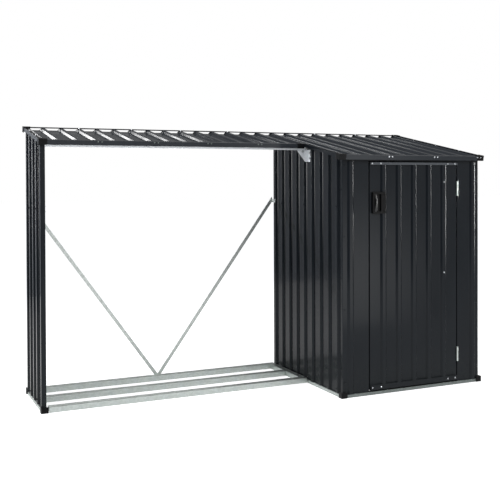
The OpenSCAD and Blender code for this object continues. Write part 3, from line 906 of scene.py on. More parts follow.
@dataclass
class Base:
    """Bearers, sills and feet."""

    lay: Layout
    groove: float = 0.004
    shoulder: float = 0.3
    lip: float = 0.009
    bearer_bend: float = 0.0013
    foot_round: float = 0.0012
    bay_end: float = -1.1956
    front_end: float = 0.2982
    other_end: float = 0.2639

    def bearer(self, a: float) -> Path:
        """Set out a log bearer: an upturned channel with a groove along its top and inward lips.

        Args:
            a: Its front line.

        Returns:
            Its profile.
        """
        h, w, g = self.lay.rail_h, self.lay.rail_w, self.groove
        near, far = a + w * self.shoulder, a + w * (1.0 - self.shoulder)
        return [
            (a + self.lip, 0.0),
            (a, 0.0),
            (a, h),
            (near, h),
            (near + g, h - g),
            (far - g, h - g),
            (far, h),
            (a + w, h),
            (a + w, 0.0),
            (a + w - self.lip, 0.0),
        ]

    def channel(self, a: float, height: float, way: float = 1.0) -> Path:
        """Set out a channel that opens away from its outer face.

        Args:
            a: Line of the outer face.
            height: The channel's height.
            way: 1 where it opens towards larger numbers, -1 towards smaller ones.

        Returns:
            Its profile.
        """
        inner = a + way * self.lay.sill_w
        path = [(inner, 0.0), (a, 0.0), (a, height), (inner, height)]
        return path if way > 0 else path[::-1]

    def dress(self, frame: Frame, finishes: Finishes) -> None:
        """Bend the bearers and sills, and round the feet.

        Args:
            finishes: The materials.
        """
        lay = self.lay
        y0, y1 = lay.y_bay + lay.sill_in, lay.y_back - lay.sill_in
        x0, x1 = lay.x_shed + lay.sill_in, lay.x_right - lay.sill_in
        step = (y1 - y0 - lay.rail_w) / 2
        ends = (self.front_end, self.other_end, self.other_end)
        for i, node in enumerate(("front_bearer", "middle_bearer", "back_bearer")):
            path, length = self.bearer(y0 + i * step), ends[i] - self.bay_end
            sheet = FoldedSheet(path, along_x(self.bay_end), length, lay.rail, self.bearer_bend)
            bend_piece(node, [sheet], finishes.zinc, Slot.ZINC)
        side, inner = lay.x_end + lay.sill_in, lay.x_shed - lay.seat - lay.sill_w
        behind = y0 + lay.rail_w + lay.seat
        front = self.channel(lay.y_front + lay.sill_in, lay.sill_h)
        back = self.channel(y1, lay.sill_h, -1.0)
        # The shed's front and back sills take the zinc darkened as painted shade.
        for node, path, place, length, material in (
            ("end_sill", self.channel(side, lay.sill_h), along_y(y1), y1 - y0, finishes.zinc),
            ("shed_side_bearer", self.channel(inner, lay.rail_h), along_y(y1), y1 - behind, finishes.zinc),
            ("shed_front_sill", front, along_x(x0), x1 - x0, finishes.zinc_painted_shade),
            ("shed_back_sill", back, along_x(x0), x1 - x0, finishes.zinc_painted_shade),
        ):
            sheet = FoldedSheet(path, place, length, lay.rail, lay.rail_bend)
            bend_piece(node, [sheet], material, Slot.ZINC)
        dress_nodes(frame, ("shed_left_sill",), finishes.zinc)
        # The right sill takes the zinc darkened as painted shade.
        dress_nodes(frame, ("shed_right_sill",), finishes.zinc_painted_shade)
        soften(frame, "corner_feet", self.foot_round, finishes.plastic, Slot.PLASTIC)


@dataclass
class Walls:
    """Ribbed walls, front panels, posts and the steel inside them."""

    lay: Layout
    post: float = 0.026
    post_short: float = 0.002
    post_return: float = 0.008
    left_panel: float = 0.178
    right_panel: float = 0.162
    left_rib_in: float = 0.060
    right_rib_in: float = 0.054
    jamb: float = 0.028
    length: float = 1.804
    back_room: float = 0.020
    beam_depth: float = 0.028
    beam_drop: float = 0.024
    beam_play: float = 0.0001
    panel_screws_in: Point = (0.0225, 0.0190)
    panel_screws_z: tuple[float, ...] = (0.085, 0.486, 0.89, 1.285)
    corner_screws_z: tuple[float, ...] = (0.16, 0.66, 1.15)
    screwed_ribs: tuple[int, ...] = (0, 4, 7)
    rib_screws_z: Point = (0.044, 1.055)
    post_screws_z: Point = (0.09, 1.045)
    plate: float = 0.0015
    brace_end_bolt: Point = (0.013, 0.020)
    brace_foot_bolt: float = 0.018
    brace_wall_bolt: Point = (0.011, 1.070)
    bracket_wall_bolts: Point = (0.014, 0.018)
    bracket_beam_bolt: Point = (0.040, 0.011)
    zinc_nodes: tuple[str, ...] = (
        "end_wall_girt",
        "shed_girts",
        "bay_back_beam",
        "shed_back_beam",
        "end_top_rail",
        "shed_left_top_rail",
        "shed_right_top_rail",
    )

    def side_ribs(self, depth: float, lap: float) -> list[float]:
        """Set out the ribs of a side wall from its back line.

        Args:
            depth: The wall's depth.
            lap: Room that its front edge needs.

        Returns:
            The ribs' centres, from front to back.
        """
        lay = self.lay
        room = depth - lay.back_rib_in - lay.rib_base / 2 - lap - lay.rib_room
        count = math.floor(room / lay.rib_pitch)
        return [depth - lay.back_rib_in - n * lay.rib_pitch for n in range(count, -1, -1)]

    @property
    def shed_ribs(self) -> list[float]:
        """Rib centres of the shed's side walls, from the front line."""
        return self.side_ribs(self.lay.y_back - self.lay.y_front, self.lay.wall_rib + self.lay.fold)

    @property
    def end_ribs(self) -> list[float]:
        """Rib centres of the end wall, from the bay's front line."""
        return self.side_ribs(self.lay.y_back - self.lay.y_bay, self.lay.wall_rib + self.lay.rib_base)

    def side_paths(self, ribs: list[float], depth: float, whole: bool) -> list[Path]:
        """Set out the sheets of a side wall, front edge first.

        Args:
            ribs: The ribs' centres.
            depth: The wall's depth.
            whole: Whether the wall is one wide sheet.

        Returns:
            The outer face of each sheet.
        """
        lay = self.lay
        head = [(lay.wall_rib + lay.sheet + lay.seat, 0.0)] + lay.rib(ribs[0], lay.wall_rib)
        return lay.lapped(ribs, lay.wall_rib, head, [(depth - lay.seat, 0.0)], whole)

    def back_run(self) -> tuple[float, float, list[float]]:
        """Set out the shed's back wall.

        Returns:
            Its left and right ends, and its ribs' centres.
        """
        lay = self.lay
        edge = lay.wall_rib + lay.sheet + lay.seat
        u0, u1 = lay.x_shed + edge, lay.x_right - edge
        count = math.floor((u1 - u0 - lay.rib_base - self.back_room) / lay.rib_pitch)
        first = (u0 + u1) / 2 - count * lay.rib_pitch / 2
        return u0, u1, [first + i * lay.rib_pitch for i in range(count + 1)]

    def back_paths(self) -> list[Path]:
        """Set out the sheets of the shed's back wall, folded in at both ends.

        Returns:
            The outer face of each sheet.
        """
        lay = self.lay
        u0, u1, ribs = self.back_run()
        head = [(u0, -lay.fold), (u0, 0.0)] + lay.rib(ribs[0], lay.wall_rib)
        return lay.lapped(ribs, lay.wall_rib, head, [(u1, 0.0), (u1, -lay.fold)])

    def panel_paths(self) -> dict[str, Path]:
        """Set out the fixed front panels, wrapped round the shed's corners and folded in at the doorway.

        Returns:
            Each panel's outer face by the node that it stands for.
        """
        lay = self.lay
        left, right = lay.x_shed + lay.corner_out, lay.x_right - lay.corner_out
        jamb0, jamb1 = lay.x_shed + self.left_panel, lay.x_right - self.right_panel
        return {
            "front_left_panel": [(left, -lay.fold), (left, 0.0)]
            + lay.rib(lay.x_shed + self.left_rib_in, lay.wall_rib)
            + [(jamb0, 0.0), (jamb0, -self.jamb)],
            "front_right_panel": [(jamb1, -self.jamb), (jamb1, 0.0)]
            + lay.rib(lay.x_right - self.right_rib_in, lay.wall_rib)
            + [(right, 0.0), (right, -lay.fold)],
        }

    def post_path(self) -> Path:
        """Set out the end wall's front post: a half rib that wraps the sheet's edge.

        Returns:
            The post's outer face.
        """
        lay = self.lay
        x, inner, base, crest = lay.x_end, lay.x_end + self.post, lay.rib_base, lay.rib_crest
        deep = -lay.fold + self.post_short
        return [
            (x + lay.corner_out, -base),
            (x + lay.corner_out, -(base + crest) / 2),
            (x, -crest),
            (x, 0.0),
            (inner, 0.0),
            (inner, deep),
            (inner - self.post_return, deep),
        ]

    def sheets(self) -> dict[str, list[FoldedSheet]]:
        """Set out every wall sheet.

        Returns:
            Each wall's sheets by the node that they stand for.
        """
        lay = self.lay
        cut = lay.roof_cut
        shed = self.side_paths(self.shed_ribs, lay.y_back - lay.y_front, False)
        bay = self.side_paths(self.end_ribs, lay.y_back - lay.y_bay, True)
        left = lay.side_face(lay.x_shed + lay.wall_rib, lay.y_front)
        end = lay.side_face(lay.x_end + lay.wall_rib, lay.y_bay)
        back = Matrix.Translation((0.0, lay.y_back - lay.wall_rib, lay.sill_h))
        post = lay.front_face(lay.sill_h, lay.bay_pan)
        walls = {
            node: [FoldedSheet(path, place, self.length, lay.sheet, cut=cut) for path in paths]
            for node, paths, place in (
                ("end_wall", bay, end),
                ("shed_left_wall", shed, left),
                ("shed_right_wall", shed, lay.right_side @ left),
                ("shed_back_wall", self.back_paths(), back),
                ("end_front_post", [self.post_path()], post),
            )
        }
        high = lay.head_z - lay.seat - lay.sill_h
        face = lay.front_face(lay.sill_h, lay.front_pan)
        for node, path in self.panel_paths().items():
            walls[node] = [FoldedSheet(path, face, high, lay.sheet)]
        return walls

    def eave_beam(self) -> FoldedSheet:
        """Set out the channel under the bay roof's front edge, whose top flange lies on the slope.

        Returns:
            The channel.
        """
        lay = self.lay
        x0, x1 = lay.x_end + self.post + lay.seat, lay.x_shed - lay.seat
        y0, y1 = lay.bay_pan, lay.bay_pan + self.beam_depth
        low = lay.roof_under(y0) - self.beam_drop
        near, far = lay.roof_under(y0) - self.beam_play, lay.roof_under(y1) - self.beam_play
        path = [(y1, low), (y0, low), (y0, near), (y1, far)]
        return FoldedSheet(path, along_x(x0), x1 - x0, lay.rail, lay.rail_bend)

    def both_sides(self, inward: float, y: float, z: float) -> list[Spot]:
        """Seats of a screw on the shed's left side and of its fellow on the right."""
        left, right = self.lay.x_shed + inward, self.lay.x_right - inward
        return [(Vector((left, y, z)), OUT_LEFT), (Vector((right, y, z)), OUT_RIGHT)]

    def screws(self) -> list[Spot]:
        """Set out the screws in the walls, the front panels and the post.

        Returns:
            Their seats.
        """
        lay = self.lay
        spots: list[Spot] = []
        left_in, right_in = self.panel_screws_in
        for z in self.panel_screws_z:
            for x in (lay.x_shed + left_in, lay.x_right - right_in):
                spots.append((Vector((x, lay.front_pan, z)), OUT_FRONT))
        for z in self.corner_screws_z:
            spots += self.both_sides(lay.corner_out, lay.front_pan + lay.fold / 2, z)
        ribs = self.shed_ribs
        for i in self.screwed_ribs:
            for z in self.rib_screws_z:
                spots += self.both_sides(0.0, lay.y_front + ribs[i], z)
        for at in self.end_ribs[::2]:
            for z in self.rib_screws_z:
                spots.append((Vector((lay.x_end, lay.y_bay + at, z)), OUT_LEFT))
        for z in self.post_screws_z:
            spots.append((Vector((lay.x_end + self.post / 2, lay.bay_pan, z)), OUT_FRONT))
        back, n = self.back_run()[2], lay.sheet_ribs
        # The last sheet's pair stands over a rib's foot, so it is off the sheet by the rib's height.
        for x in back[n - 1 : -n : n] + [back[-n] + lay.rib_base / 2]:
            for z in self.rib_screws_z:
                spots.append((Vector((x, lay.y_back, z)), OUT_BACK))
        return spots

    def bolts(self) -> list[Spot]:
        """Set out the larger bolts at the braces' ends and on the eave bracket.

        Returns:
            Their seats.
        """
        right_low, right_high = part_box("right_brace")
        left_low, left_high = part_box("left_brace")
        low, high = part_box("eave_bracket")
        end_x, end_z = self.brace_end_bolt
        wall_y, wall_z = self.brace_wall_bolt
        side_y, side_z = self.bracket_wall_bolts
        face_x, face_z = self.bracket_beam_bolt
        foot, plate = (left_high.x + right_low.x) / 2, self.plate
        return [
            (Vector((left_low.x + end_x, left_high.y, left_high.z - end_z)), OUT_BACK),
            (Vector((foot, right_high.y, self.brace_foot_bolt)), OUT_BACK),
            (Vector((right_high.x - plate, right_low.y + wall_y, wall_z)), OUT_LEFT),
            (Vector((high.x - plate, low.y + side_y, high.z - side_z)), OUT_LEFT),
            (Vector((high.x - plate, low.y + side_y, low.z + side_z)), OUT_LEFT),
            (Vector((low.x + face_x, high.y - plate, high.z - face_z)), OUT_FRONT),
        ]

    def dress(self, frame: Frame, finishes: Finishes) -> None:
        """Bend the sheets, give the frame its zinc and put the screws in.

        Args:
            finishes: The materials.
        """
        for node, sheets in self.sheets().items():
            bend_piece(node, sheets, finishes.sheet, Slot.SHEET)
        dress_nodes(frame, self.zinc_nodes, finishes.zinc)
        dress_nodes(frame, ("left_brace", "right_brace"), finishes.grey_zinc)
        # The eave bracket and the bay's eave beam take zinc painted almost white, as painted light.
        dress_nodes(frame, ("eave_bracket",), finishes.zinc_painted_light)
        bend_piece("bay_eave_beam", [self.eave_beam()], finishes.zinc_painted_light, Slot.ZINC)
        dress_nodes(frame, ("shed_front_header", "end_back_post"), finishes.sheet)
        soften(frame, "frame_hinge_leaves", self.lay.hinge_round, finishes.zinc, Slot.ZINC, 2)
        ScrewGroup("wall_screws").build(self.screws(), finishes.sheet, Slot.SHEET)
        bolts = ScrewGroup("brace_bolts", radius=0.0062, height=0.0044, washer=0.0090)
        bolts.build(self.bolts(), finishes.screw)


@dataclass
class Roof:
    """Ribbed roof sheets, their trims and corner caps."""

    lay: Layout
    edge_rib_out: float = 0.002
    edge_rib_in: float = 0.028
    step_rib_out: float = 0.004
    sheet_bend: float = 0.0034
    bend_steps: int = 4
    trim_top: float = 0.026
    lip: float = 0.009
    drop: float = 0.010
    verge_drop: float = 0.002
    hem: float = 0.003
    ridge: float = 0.006
    cap_round: float = 0.0009
    eave_screw_up: float = 0.009
    eave_screw_half: float = 0.0105
    back_screw_in: float = 0.014
    verge_screw_in: float = 0.0155
    right_verge_screws: tuple[float, ...] = (0.20, 0.45, 0.70)
    left_verge_screws: tuple[float, ...] = (0.60, 0.80)

    @property
    def s_front(self) -> float:
        """Front edge of the shed's roof, up the slope."""
        return -self.lay.overhang

    @property
    def s_bay(self) -> float:
        """Front edge of the bay's roof, up the slope."""
        return self.lay.slope(self.lay.y_bay) - self.lay.overhang

    @property
    def s_back(self) -> float:
        """Back edge of the roof, up the slope."""
        return self.lay.slope(self.lay.y_back) + self.lay.back_overhang

    @property
    def u_left(self) -> float:
        """Left edge of the roof."""
        return self.lay.x_end - self.lay.side_overhang

    @property
    def u_right(self) -> float:
        """Right edge of the roof."""
        return self.lay.x_right + self.lay.right_overhang

    @property
    def step_rib(self) -> float:
        """Centre of the shed roof's first rib, which laps over the bay's last sheet."""
        return self.lay.x_shed - self.step_rib_out

    @property
    def u_step(self) -> float:
        """Edge of the shed's roof where it stands in front of the bay's."""
        return self.step_rib - self.lay.rib_base / 2 - self.lay.edge

    def bay_ribs(self) -> list[float]:
        """Rib centres over the log bay."""
        return self.lay.rib_run(self.lay.x_end - self.edge_rib_out, self.step_rib - self.lay.rib_base)

    def shed_ribs(self) -> list[float]:
        """Rib centres over the shed, with the edge rib last."""
        edge = self.lay.x_right - self.edge_rib_in
        return self.lay.rib_run(self.step_rib, edge - self.lay.rib_base - self.lay.rib_room) + [edge]

    def roof_sheets(self, paths: list[Path], s0: float) -> list[FoldedSheet]:
        """Lay sheets on the slope, up to the back edge.

        Args:
            paths: The outer face of each sheet.
            s0: Their front edge, up the slope.

        Returns:
            The sheets.
        """
        lay = self.lay
        s1 = self.s_back - lay.edge
        up = Matrix.Translation((0.0, s1, lay.sheet)) @ Matrix.Rotation(math.pi / 2, 4, "X")
        place, long = lay.roof_frame @ up, s1 - s0
        return [FoldedSheet(path, place, long, lay.sheet, self.sheet_bend, self.bend_steps) for path in paths]

    def eave_path(self, s: float) -> Path:
        """Eave trim: a lower lip, an upright face and a flange on the crests."""
        w = self.lay.trim_w
        return [(s + self.lip, -self.drop), (s, -self.drop), (s, w), (s + self.trim_top, w)]

    def verge_path(self, u: float, way: float) -> Path:
        """Set out a verge trim: a ridge and a turned-up inner edge, with a groove between them.

        Args:
            u: The roof's edge.
            way: 1 where the trim runs to the right of it, -1 to the left.

        Returns:
            The trim's outer face.
        """
        w, high = self.lay.trim_w, self.lay.trim_w + self.hem
        ridge, inner = u + way * self.ridge, u + way * (self.trim_top - self.lay.trim)
        path = [(u, -self.verge_drop), (u, high), (ridge, high), (ridge, w), (inner, w), (inner, high)]
        return path if way > 0 else path[::-1]

    def trims(self) -> dict[str, FoldedSheet]:
        """Set out every trim.

        Returns:
            Each trim by the node that it stands for.
        """
        lay = self.lay
        frame, w = lay.roof_frame, lay.trim_w
        gap = self.trim_top + lay.seat
        a = self.s_back - lay.trim
        back = [(a - self.trim_top, w), (a, w), (a, w + self.hem)]
        left, right, step = self.u_left, self.u_right, self.u_step

        def run_x(path: Path, u0: float, u1: float) -> FoldedSheet:
            """A trim along the eave."""
            return FoldedSheet(path, frame @ along_x(u0), u1 - u0, lay.trim, lay.trim_bend)

        def run_y(path: Path, s0: float, s1: float) -> FoldedSheet:
            """A trim down the slope."""
            return FoldedSheet(path, frame @ along_y(s1), s1 - s0, lay.trim, lay.trim_bend)

        return {
            "bay_eave_trim": run_x(self.eave_path(self.s_bay), left + gap, step - lay.seat),
            "shed_eave_trim": run_x(self.eave_path(self.s_front), step + gap, right - gap),
            "back_edge_trim": run_x(back, left + gap, right - gap),
            "left_verge_trim": run_y(self.verge_path(left, 1.0), self.s_bay, self.s_back),
            "right_verge_trim": run_y(self.verge_path(right, -1.0), self.s_front, self.s_back),
            "step_verge_trim": run_y(self.verge_path(step, 1.0), self.s_front, self.s_bay - lay.seat),
        }

    def laps(self, ribs: list[float]) -> list[float]:
        """Centres of the ribs where two sheets lap."""
        return ribs[self.lay.sheet_ribs :: self.lay.sheet_ribs]

    def eave_screws(self, ribs: list[float], s: float) -> list[Spot]:
        """Set out the screw pairs on an eave trim, where two sheets lap behind it.

        Args:
            ribs: Rib centres of the sheets.
            s: The trim's face, up the slope.

        Returns:
            Their seats.
        """
        frame, half = self.lay.roof_frame, self.eave_screw_half
        face = frame.to_3x3() @ OUT_FRONT
        places = [centre + side for centre in self.laps(ribs) for side in (-half, half)]
        return [(frame @ Vector((u, s, self.eave_screw_up)), face) for u in places]

    def top_screws(self) -> list[Spot]:
        """Set out the screws on the back edge trim and in the verges' grooves.

        Returns:
            Their seats.
        """
        frame = self.lay.roof_frame
        back = self.s_back - self.back_screw_in
        right, left = self.u_right - self.verge_screw_in, self.u_left + self.verge_screw_in
        places = [(u, back) for ribs in (self.bay_ribs(), self.shed_ribs()) for u in self.laps(ribs)]
        places += [(right, s) for s in self.right_verge_screws]
        places += [(left, s) for s in self.left_verge_screws]
        out = frame.to_3x3() @ UP
        return [(frame @ Vector((u, s, self.lay.trim_w)), out) for u, s in places]

    def dress(self, frame: Frame, finishes: Finishes) -> None:
        """Bend the sheets and trims, round the caps and put the screws in.

        Args:
            finishes: The materials.
        """
        lay = self.lay
        bay, shed = self.bay_ribs(), self.shed_ribs()
        h, crest, base = lay.roof_rib, lay.rib_crest / 2, lay.rib_base / 2
        head = [(self.u_left + lay.edge, h), (bay[0] + crest, h), (bay[0] + base, 0.0)]
        bay_paths = lay.lapped(bay, h, head, [(self.step_rib + crest, 0.0)])
        shed_paths = lay.lapped(shed, h, lay.lap_rib(shed[0], h), [(self.u_right - lay.edge, 0.0)])
        for node, paths, s in (("bay_roof", bay_paths, self.s_bay), ("shed_roof", shed_paths, self.s_front)):
            bend_piece(node, self.roof_sheets(paths, s + lay.edge), finishes.roof, Slot.SHEET)
        for node, trim in self.trims().items():
            # The eave trims take the roof's coat, painted greyer as painted light.
            finish = finishes.roof if node.endswith("eave_trim") else finishes.sheet
            bend_piece(node, [trim], finish, Slot.SHEET)
        soften(frame, "roof_corner_caps", self.cap_round, finishes.plastic, Slot.PLASTIC)
        spots = self.top_screws() + self.eave_screws(shed, self.s_front)
        ScrewGroup("roof_screws").build(spots, finishes.screw)
        # The bay's eave screws take the zinc darkened as painted shade.
        ScrewGroup("bay_eave_screws").build(self.eave_screws(bay, self.s_bay), finishes.zinc_painted_shade)


@dataclass
class Handle:
    """Moulded pull on the door: a rounded body, a bowed grip, a finger pocket and finger ribs."""

    lay: Layout
    door_x0: float
    rib_in: float
    width: float = 0.086
    height: float = 0.122
    depth: float = 0.015
    corner: float = 0.008
    corner_steps: int = 5
    rim_round: float = 0.0016
    clear: float = 0.002
    grip_in: float = 0.020
    grip_rise: float = 0.011
    grip_r: float = 0.007
    grip_end: float = 0.009
    grip_sunk: float = 0.0008
    grip_sides: int = 18
    grip_steps: int = 28
    pocket_depth: float = 0.011
    pocket_rim: float = 0.013
    pocket_corner: float = 0.005
    middle_z: float = 1.074
    inset: float = 0.012
    bars: int = 3
    bar_size: Place = (0.0095, 0.0022, 0.0024)
    bar_at: Point = (0.0078, 0.018)
    bar_step: float = 0.0062
    bar_round: float = 0.0005
    screw_in: float = 0.012
    screw_half: float = 0.046

    @property
    def place(self) -> Matrix:
        """The handle's own frame: X to the right, Y up, Z out of the door, from its middle on the pan."""
        x = self.door_x0 + self.inset + self.width / 2
        turn = Matrix.Rotation(math.pi / 2, 4, "X")
        return Matrix.Translation((x, self.lay.front_pan, self.middle_z)) @ turn

    def ring(self, mesh: Mesh, w: float, h: float, radius: float, x: float) -> list[Edge]:
        """Add a rounded rectangle of edges at the body's face.

        Args:
            mesh: The mesh to add to.
            w: Width.
            h: Height.
            radius: Corner radius.
            x: Middle of the rectangle across the body.

        Returns:
            The ring's edges.
        """
        part = bmesh.new()
        bmesh.ops.create_grid(part, x_segments=1, y_segments=1, size=0.5)
        bmesh.ops.scale(part, vec=(w, h, 1.0), verts=part.verts[:])
        round_off(part, part.verts[:], radius, self.corner_steps, "VERTICES")
        bmesh.ops.delete(part, geom=part.faces[:], context="FACES_ONLY")
        bmesh.ops.translate(part, verts=part.verts[:], vec=(x, 0.0, self.depth))
        before = set(mesh.edges)
        pour(part, mesh)
        return [edge for edge in mesh.edges if edge not in before]

    def sink(self, mesh: Mesh, ring: list[Edge], by: float) -> None:
        """Draw a ring inwards and close it.

        Args:
            mesh: The mesh to change.
            ring: The ring's edges.
            by: How far it goes in.
        """
        drawn = bmesh.ops.extrude_edge_only(mesh, edges=ring)["geom"]
        verts = [item for item in drawn if isinstance(item, Vert)]
        rim = [item for item in drawn if isinstance(item, Edge) and set(item.verts) <= set(verts)]
        bmesh.ops.translate(mesh, verts=verts, vec=(0.0, 0.0, -by))
        bmesh.ops.contextual_create(mesh, geom=rim)

    def body(self) -> Mesh:
        """Build the body with its pocket, relieved at the back for the door's rib.

        Returns:
            The body in the handle's own frame.
        """
        lay = self.lay
        mesh = bmesh.new()
        left = -self.width / 2
        rib = self.rib_in - self.inset + left
        x0 = left + self.grip_in + self.grip_r + self.clear
        x1 = rib - lay.rib_base / 2 - self.clear
        high = self.height - 2 * self.pocket_rim
        outer = self.ring(mesh, self.width, self.height, self.corner, 0.0)
        pocket = self.ring(mesh, x1 - x0, high, self.pocket_corner, (x0 + x1) / 2)
        bmesh.ops.bridge_loops(mesh, edges=outer + pocket)
        self.sink(mesh, pocket, self.pocket_depth)
        self.sink(mesh, outer, self.depth)
        bmesh.ops.recalc_face_normals(mesh, faces=mesh.faces[:])
        round_off(mesh, outer + pocket, self.rim_round, 3)
        foot, crest = rib - lay.rib_base / 2 - lay.seat, rib - lay.rib_crest / 2 - lay.seat
        rise = lay.wall_rib + lay.seat
        for x in (foot, crest):
            slice_mesh(mesh, (x, 0.0, 0.0), OUT_RIGHT)
        for vert in mesh.verts:
            if vert.co.z < 10 * SAME:
                vert.co.z = rise * min(1.0, max(0.0, (vert.co.x - foot) / (crest - foot)))
        return mesh

    def grip(self) -> Mesh:
        """Build the bowed grip by turning a circle through an arc.

        Returns:
            The grip in the handle's own frame.
        """
        mesh = bmesh.new()
        half, rise = self.height / 2 - self.grip_end, self.grip_rise
        bow = (half * half + rise * rise) / (2 * rise)
        centre = Vector((self.grip_in - self.width / 2, 0.0, self.depth + rise - bow))
        reach = math.acos((bow - rise - self.grip_sunk) / bow)
        start = Matrix.Translation(centre + UP * (bow - self.grip_r))
        bmesh.ops.create_circle(
            mesh,
            cap_ends=True,
            segments=self.grip_sides,
            radius=self.grip_r,
            matrix=start @ Matrix.Rotation(math.pi / 2, 4, "X"),
        )
        bmesh.ops.rotate(mesh, cent=centre, matrix=Matrix.Rotation(-reach, 3, "X"), verts=mesh.verts[:])
        bmesh.ops.spin(
            mesh,
            geom=mesh.faces[:] + mesh.edges[:] + mesh.verts[:],
            cent=centre,
            axis=OUT_RIGHT,
            angle=2 * reach,
            steps=self.grip_steps,
        )
        bmesh.ops.recalc_face_normals(mesh, faces=mesh.faces[:])
        return mesh

    def finger_ribs(self) -> Mesh:
        """Build the small bars across the body's lower left.

        Returns:
            The bars in the handle's own frame.
        """
        mesh = bmesh.new()
        x, y = self.bar_at[0] - self.width / 2, self.bar_at[1] - self.height / 2
        for i in range(self.bars):
            bar = bmesh.ops.create_cube(mesh, size=1.0)["verts"]
            bmesh.ops.scale(mesh, vec=self.bar_size, verts=bar)
            bmesh.ops.translate(mesh, vec=(x, y + i * self.bar_step, self.depth), verts=bar)
        round_off(mesh, mesh.edges[:], self.bar_round, 2)
        return mesh

    def screws(self) -> list[Spot]:
        """Seats of the two screws in the body's right rim."""
        place, x = self.place, self.width / 2 - self.screw_in
        ends = (-self.screw_half, self.screw_half)
        return [(place @ Vector((x, y, self.depth)), OUT_FRONT) for y in ends]

    def build(self, finishes: Finishes) -> None:
        """Make the moulding, its grip and its screws.

        Args:
            finishes: The materials.
        """
        moulding, grip = self.body(), self.grip()
        pour(self.finger_ribs(), moulding)
        for mesh in (moulding, grip):
            bmesh.ops.transform(mesh, matrix=self.place, verts=mesh.verts[:])
        make_piece("handle_moulding", moulding, finishes.plastic, Slot.PLASTIC, "door_handle", Body.DOOR)
        make_piece("handle_grip", grip, finishes.polished, Slot.PLASTIC, body=Body.DOOR)
        screws = ScrewGroup("handle_screws", Body.DOOR, radius=0.0032, height=0.0018, washer=0.0042)
        screws.build(self.screws(), finishes.plastic)


@dataclass
class Door:
    """Door leaf, channels and hinge leaves."""

    lay: Layout
    x0: float = 0.4825
    x1: float = 1.0725
    fold: float = 0.020
    rib_in: float = 0.088
    top_h: float = 0.014
    bottom_h: float = 0.029
    gap: float = 0.006
    sill_gap: float = 0.002
    play: float = 0.0002
    channel_screws: tuple[float, ...] = (0.010, 0.067, 0.521, 0.572)
    screwed_rib: int = 4
    rib_screws_z: Point = (1.188, 0.663)

    @property
    def z0(self) -> float:
        """Lower edge of the door."""
        return self.lay.sill_h + self.gap + self.sill_gap

    @property
    def z1(self) -> float:
        """Upper edge of the door."""
        return self.lay.head_z - self.gap

    @property
    def cap(self) -> float:
        """Room that a capping channel takes outside the leaf."""
        return self.lay.trim + self.play

    @property
    def front(self) -> float:
        """Front face of the capping channels."""
        return self.lay.y_front - self.cap

    def leaf(self) -> FoldedSheet:
        """Set out the ribbed leaf, folded in at its edges.

        Returns:
            The leaf.
        """
        lay = self.lay
        path: Path = [(self.x0, -self.fold), (self.x0, 0.0)]
        last = math.floor((self.x1 - self.x0 - self.rib_in - lay.rib_base) / lay.rib_pitch)
        for i in range(last + 1):
            path += lay.rib(self.x0 + self.rib_in + i * lay.rib_pitch, lay.wall_rib)
        path += [(self.x1, 0.0), (self.x1, -self.fold)]
        z0, z1 = self.z0 + self.cap, self.z1 - self.cap
        return FoldedSheet(path, lay.front_face(z0, lay.front_pan), z1 - z0, lay.sheet)

    def channels(self) -> dict[str, FoldedSheet]:
        """Set out the capping channels at the top and the bottom.

        Returns:
            Each channel by the node that it stands for.
        """
        lay, front, z, low = self.lay, self.front, self.z1, self.z0
        back = lay.front_pan + self.fold + self.cap
        top = [(front, z - self.top_h), (front, z), (back, z), (back, z - self.top_h)]
        bottom = [(back, low + self.bottom_h), (back, low), (front, low), (front, low + self.bottom_h)]
        place, length = along_x(self.x0), self.x1 - self.x0
        return {
            "door_top_channel": FoldedSheet(top, place, length, lay.trim, lay.trim_bend),
            "door_bottom_channel": FoldedSheet(bottom, place, length, lay.trim, lay.trim_bend),
        }

    def screws(self) -> list[Spot]:
        """Set out the screws in the capping channels and in the leaf's last rib.

        Returns:
            Their seats.
        """
        rows = (self.z1 - self.top_h / 2, self.z0 + self.bottom_h / 2)
        places = [(self.x0 + x, self.front, z) for z in rows for x in self.channel_screws]
        rib = self.x0 + self.rib_in + self.screwed_rib * self.lay.rib_pitch
        places += [(rib, self.lay.y_front, z) for z in self.rib_screws_z]
        return [(Vector(place), OUT_FRONT) for place in places]

    def dress(self, frame: Frame, finishes: Finishes) -> None:
        """Bend the leaf and its channels, and fit the handle, hinges and screws.

        Args:
            finishes: The materials.
        """
        bend_piece("door_panel", [self.leaf()], finishes.sheet, Slot.SHEET, Body.DOOR)
        # The top channel takes the satin coat painted paler as painted light; the bottom one the plain sheet.
        for (node, channel), finish in zip(self.channels().items(), (finishes.strip, finishes.sheet)):
            bend_piece(node, [channel], finish, Slot.SHEET, Body.DOOR)
        dress_nodes(frame, ("door_middle_channel",), finishes.zinc)
        soften(frame, "door_hinge_leaves", self.lay.hinge_round, finishes.zinc, Slot.ZINC, 2, Body.DOOR)
        Handle(self.lay, self.x0, self.rib_in).build(finishes)
        ScrewGroup("door_screws", Body.DOOR).build(self.screws(), finishes.screw)


@dataclass(frozen=True)
class Lamp:
    """One soft lamp: its place, aim, size and power, whether only gloss shows it, and its turn in degrees."""

    name: str
    place: Place
    aim: Place
    size: Point
    power: float
    glint: bool = False
    turn: float = 0.0

    def hang(self) -> None:
        """Hang the lamp, which the camera itself doesn't see."""
        data = bpy.data.lights.new(self.name, "AREA")
        data.shape = "RECTANGLE"
        data.size, data.size_y = self.size
        data.energy = self.power
        stand = bpy.data.objects.new(self.name, data)
        way = (Vector(self.aim) - Vector(self.place)).to_track_quat("-Z", "Y").to_matrix().to_4x4()
        turn = Matrix.Rotation(math.radians(self.turn), 4, "Z")
        stand.matrix_world = Matrix.Translation(self.place) @ way @ turn
        stand.visible_camera = False
        stand.visible_diffuse = not self.glint
        bpy.context.scene.collection.objects.link(stand)


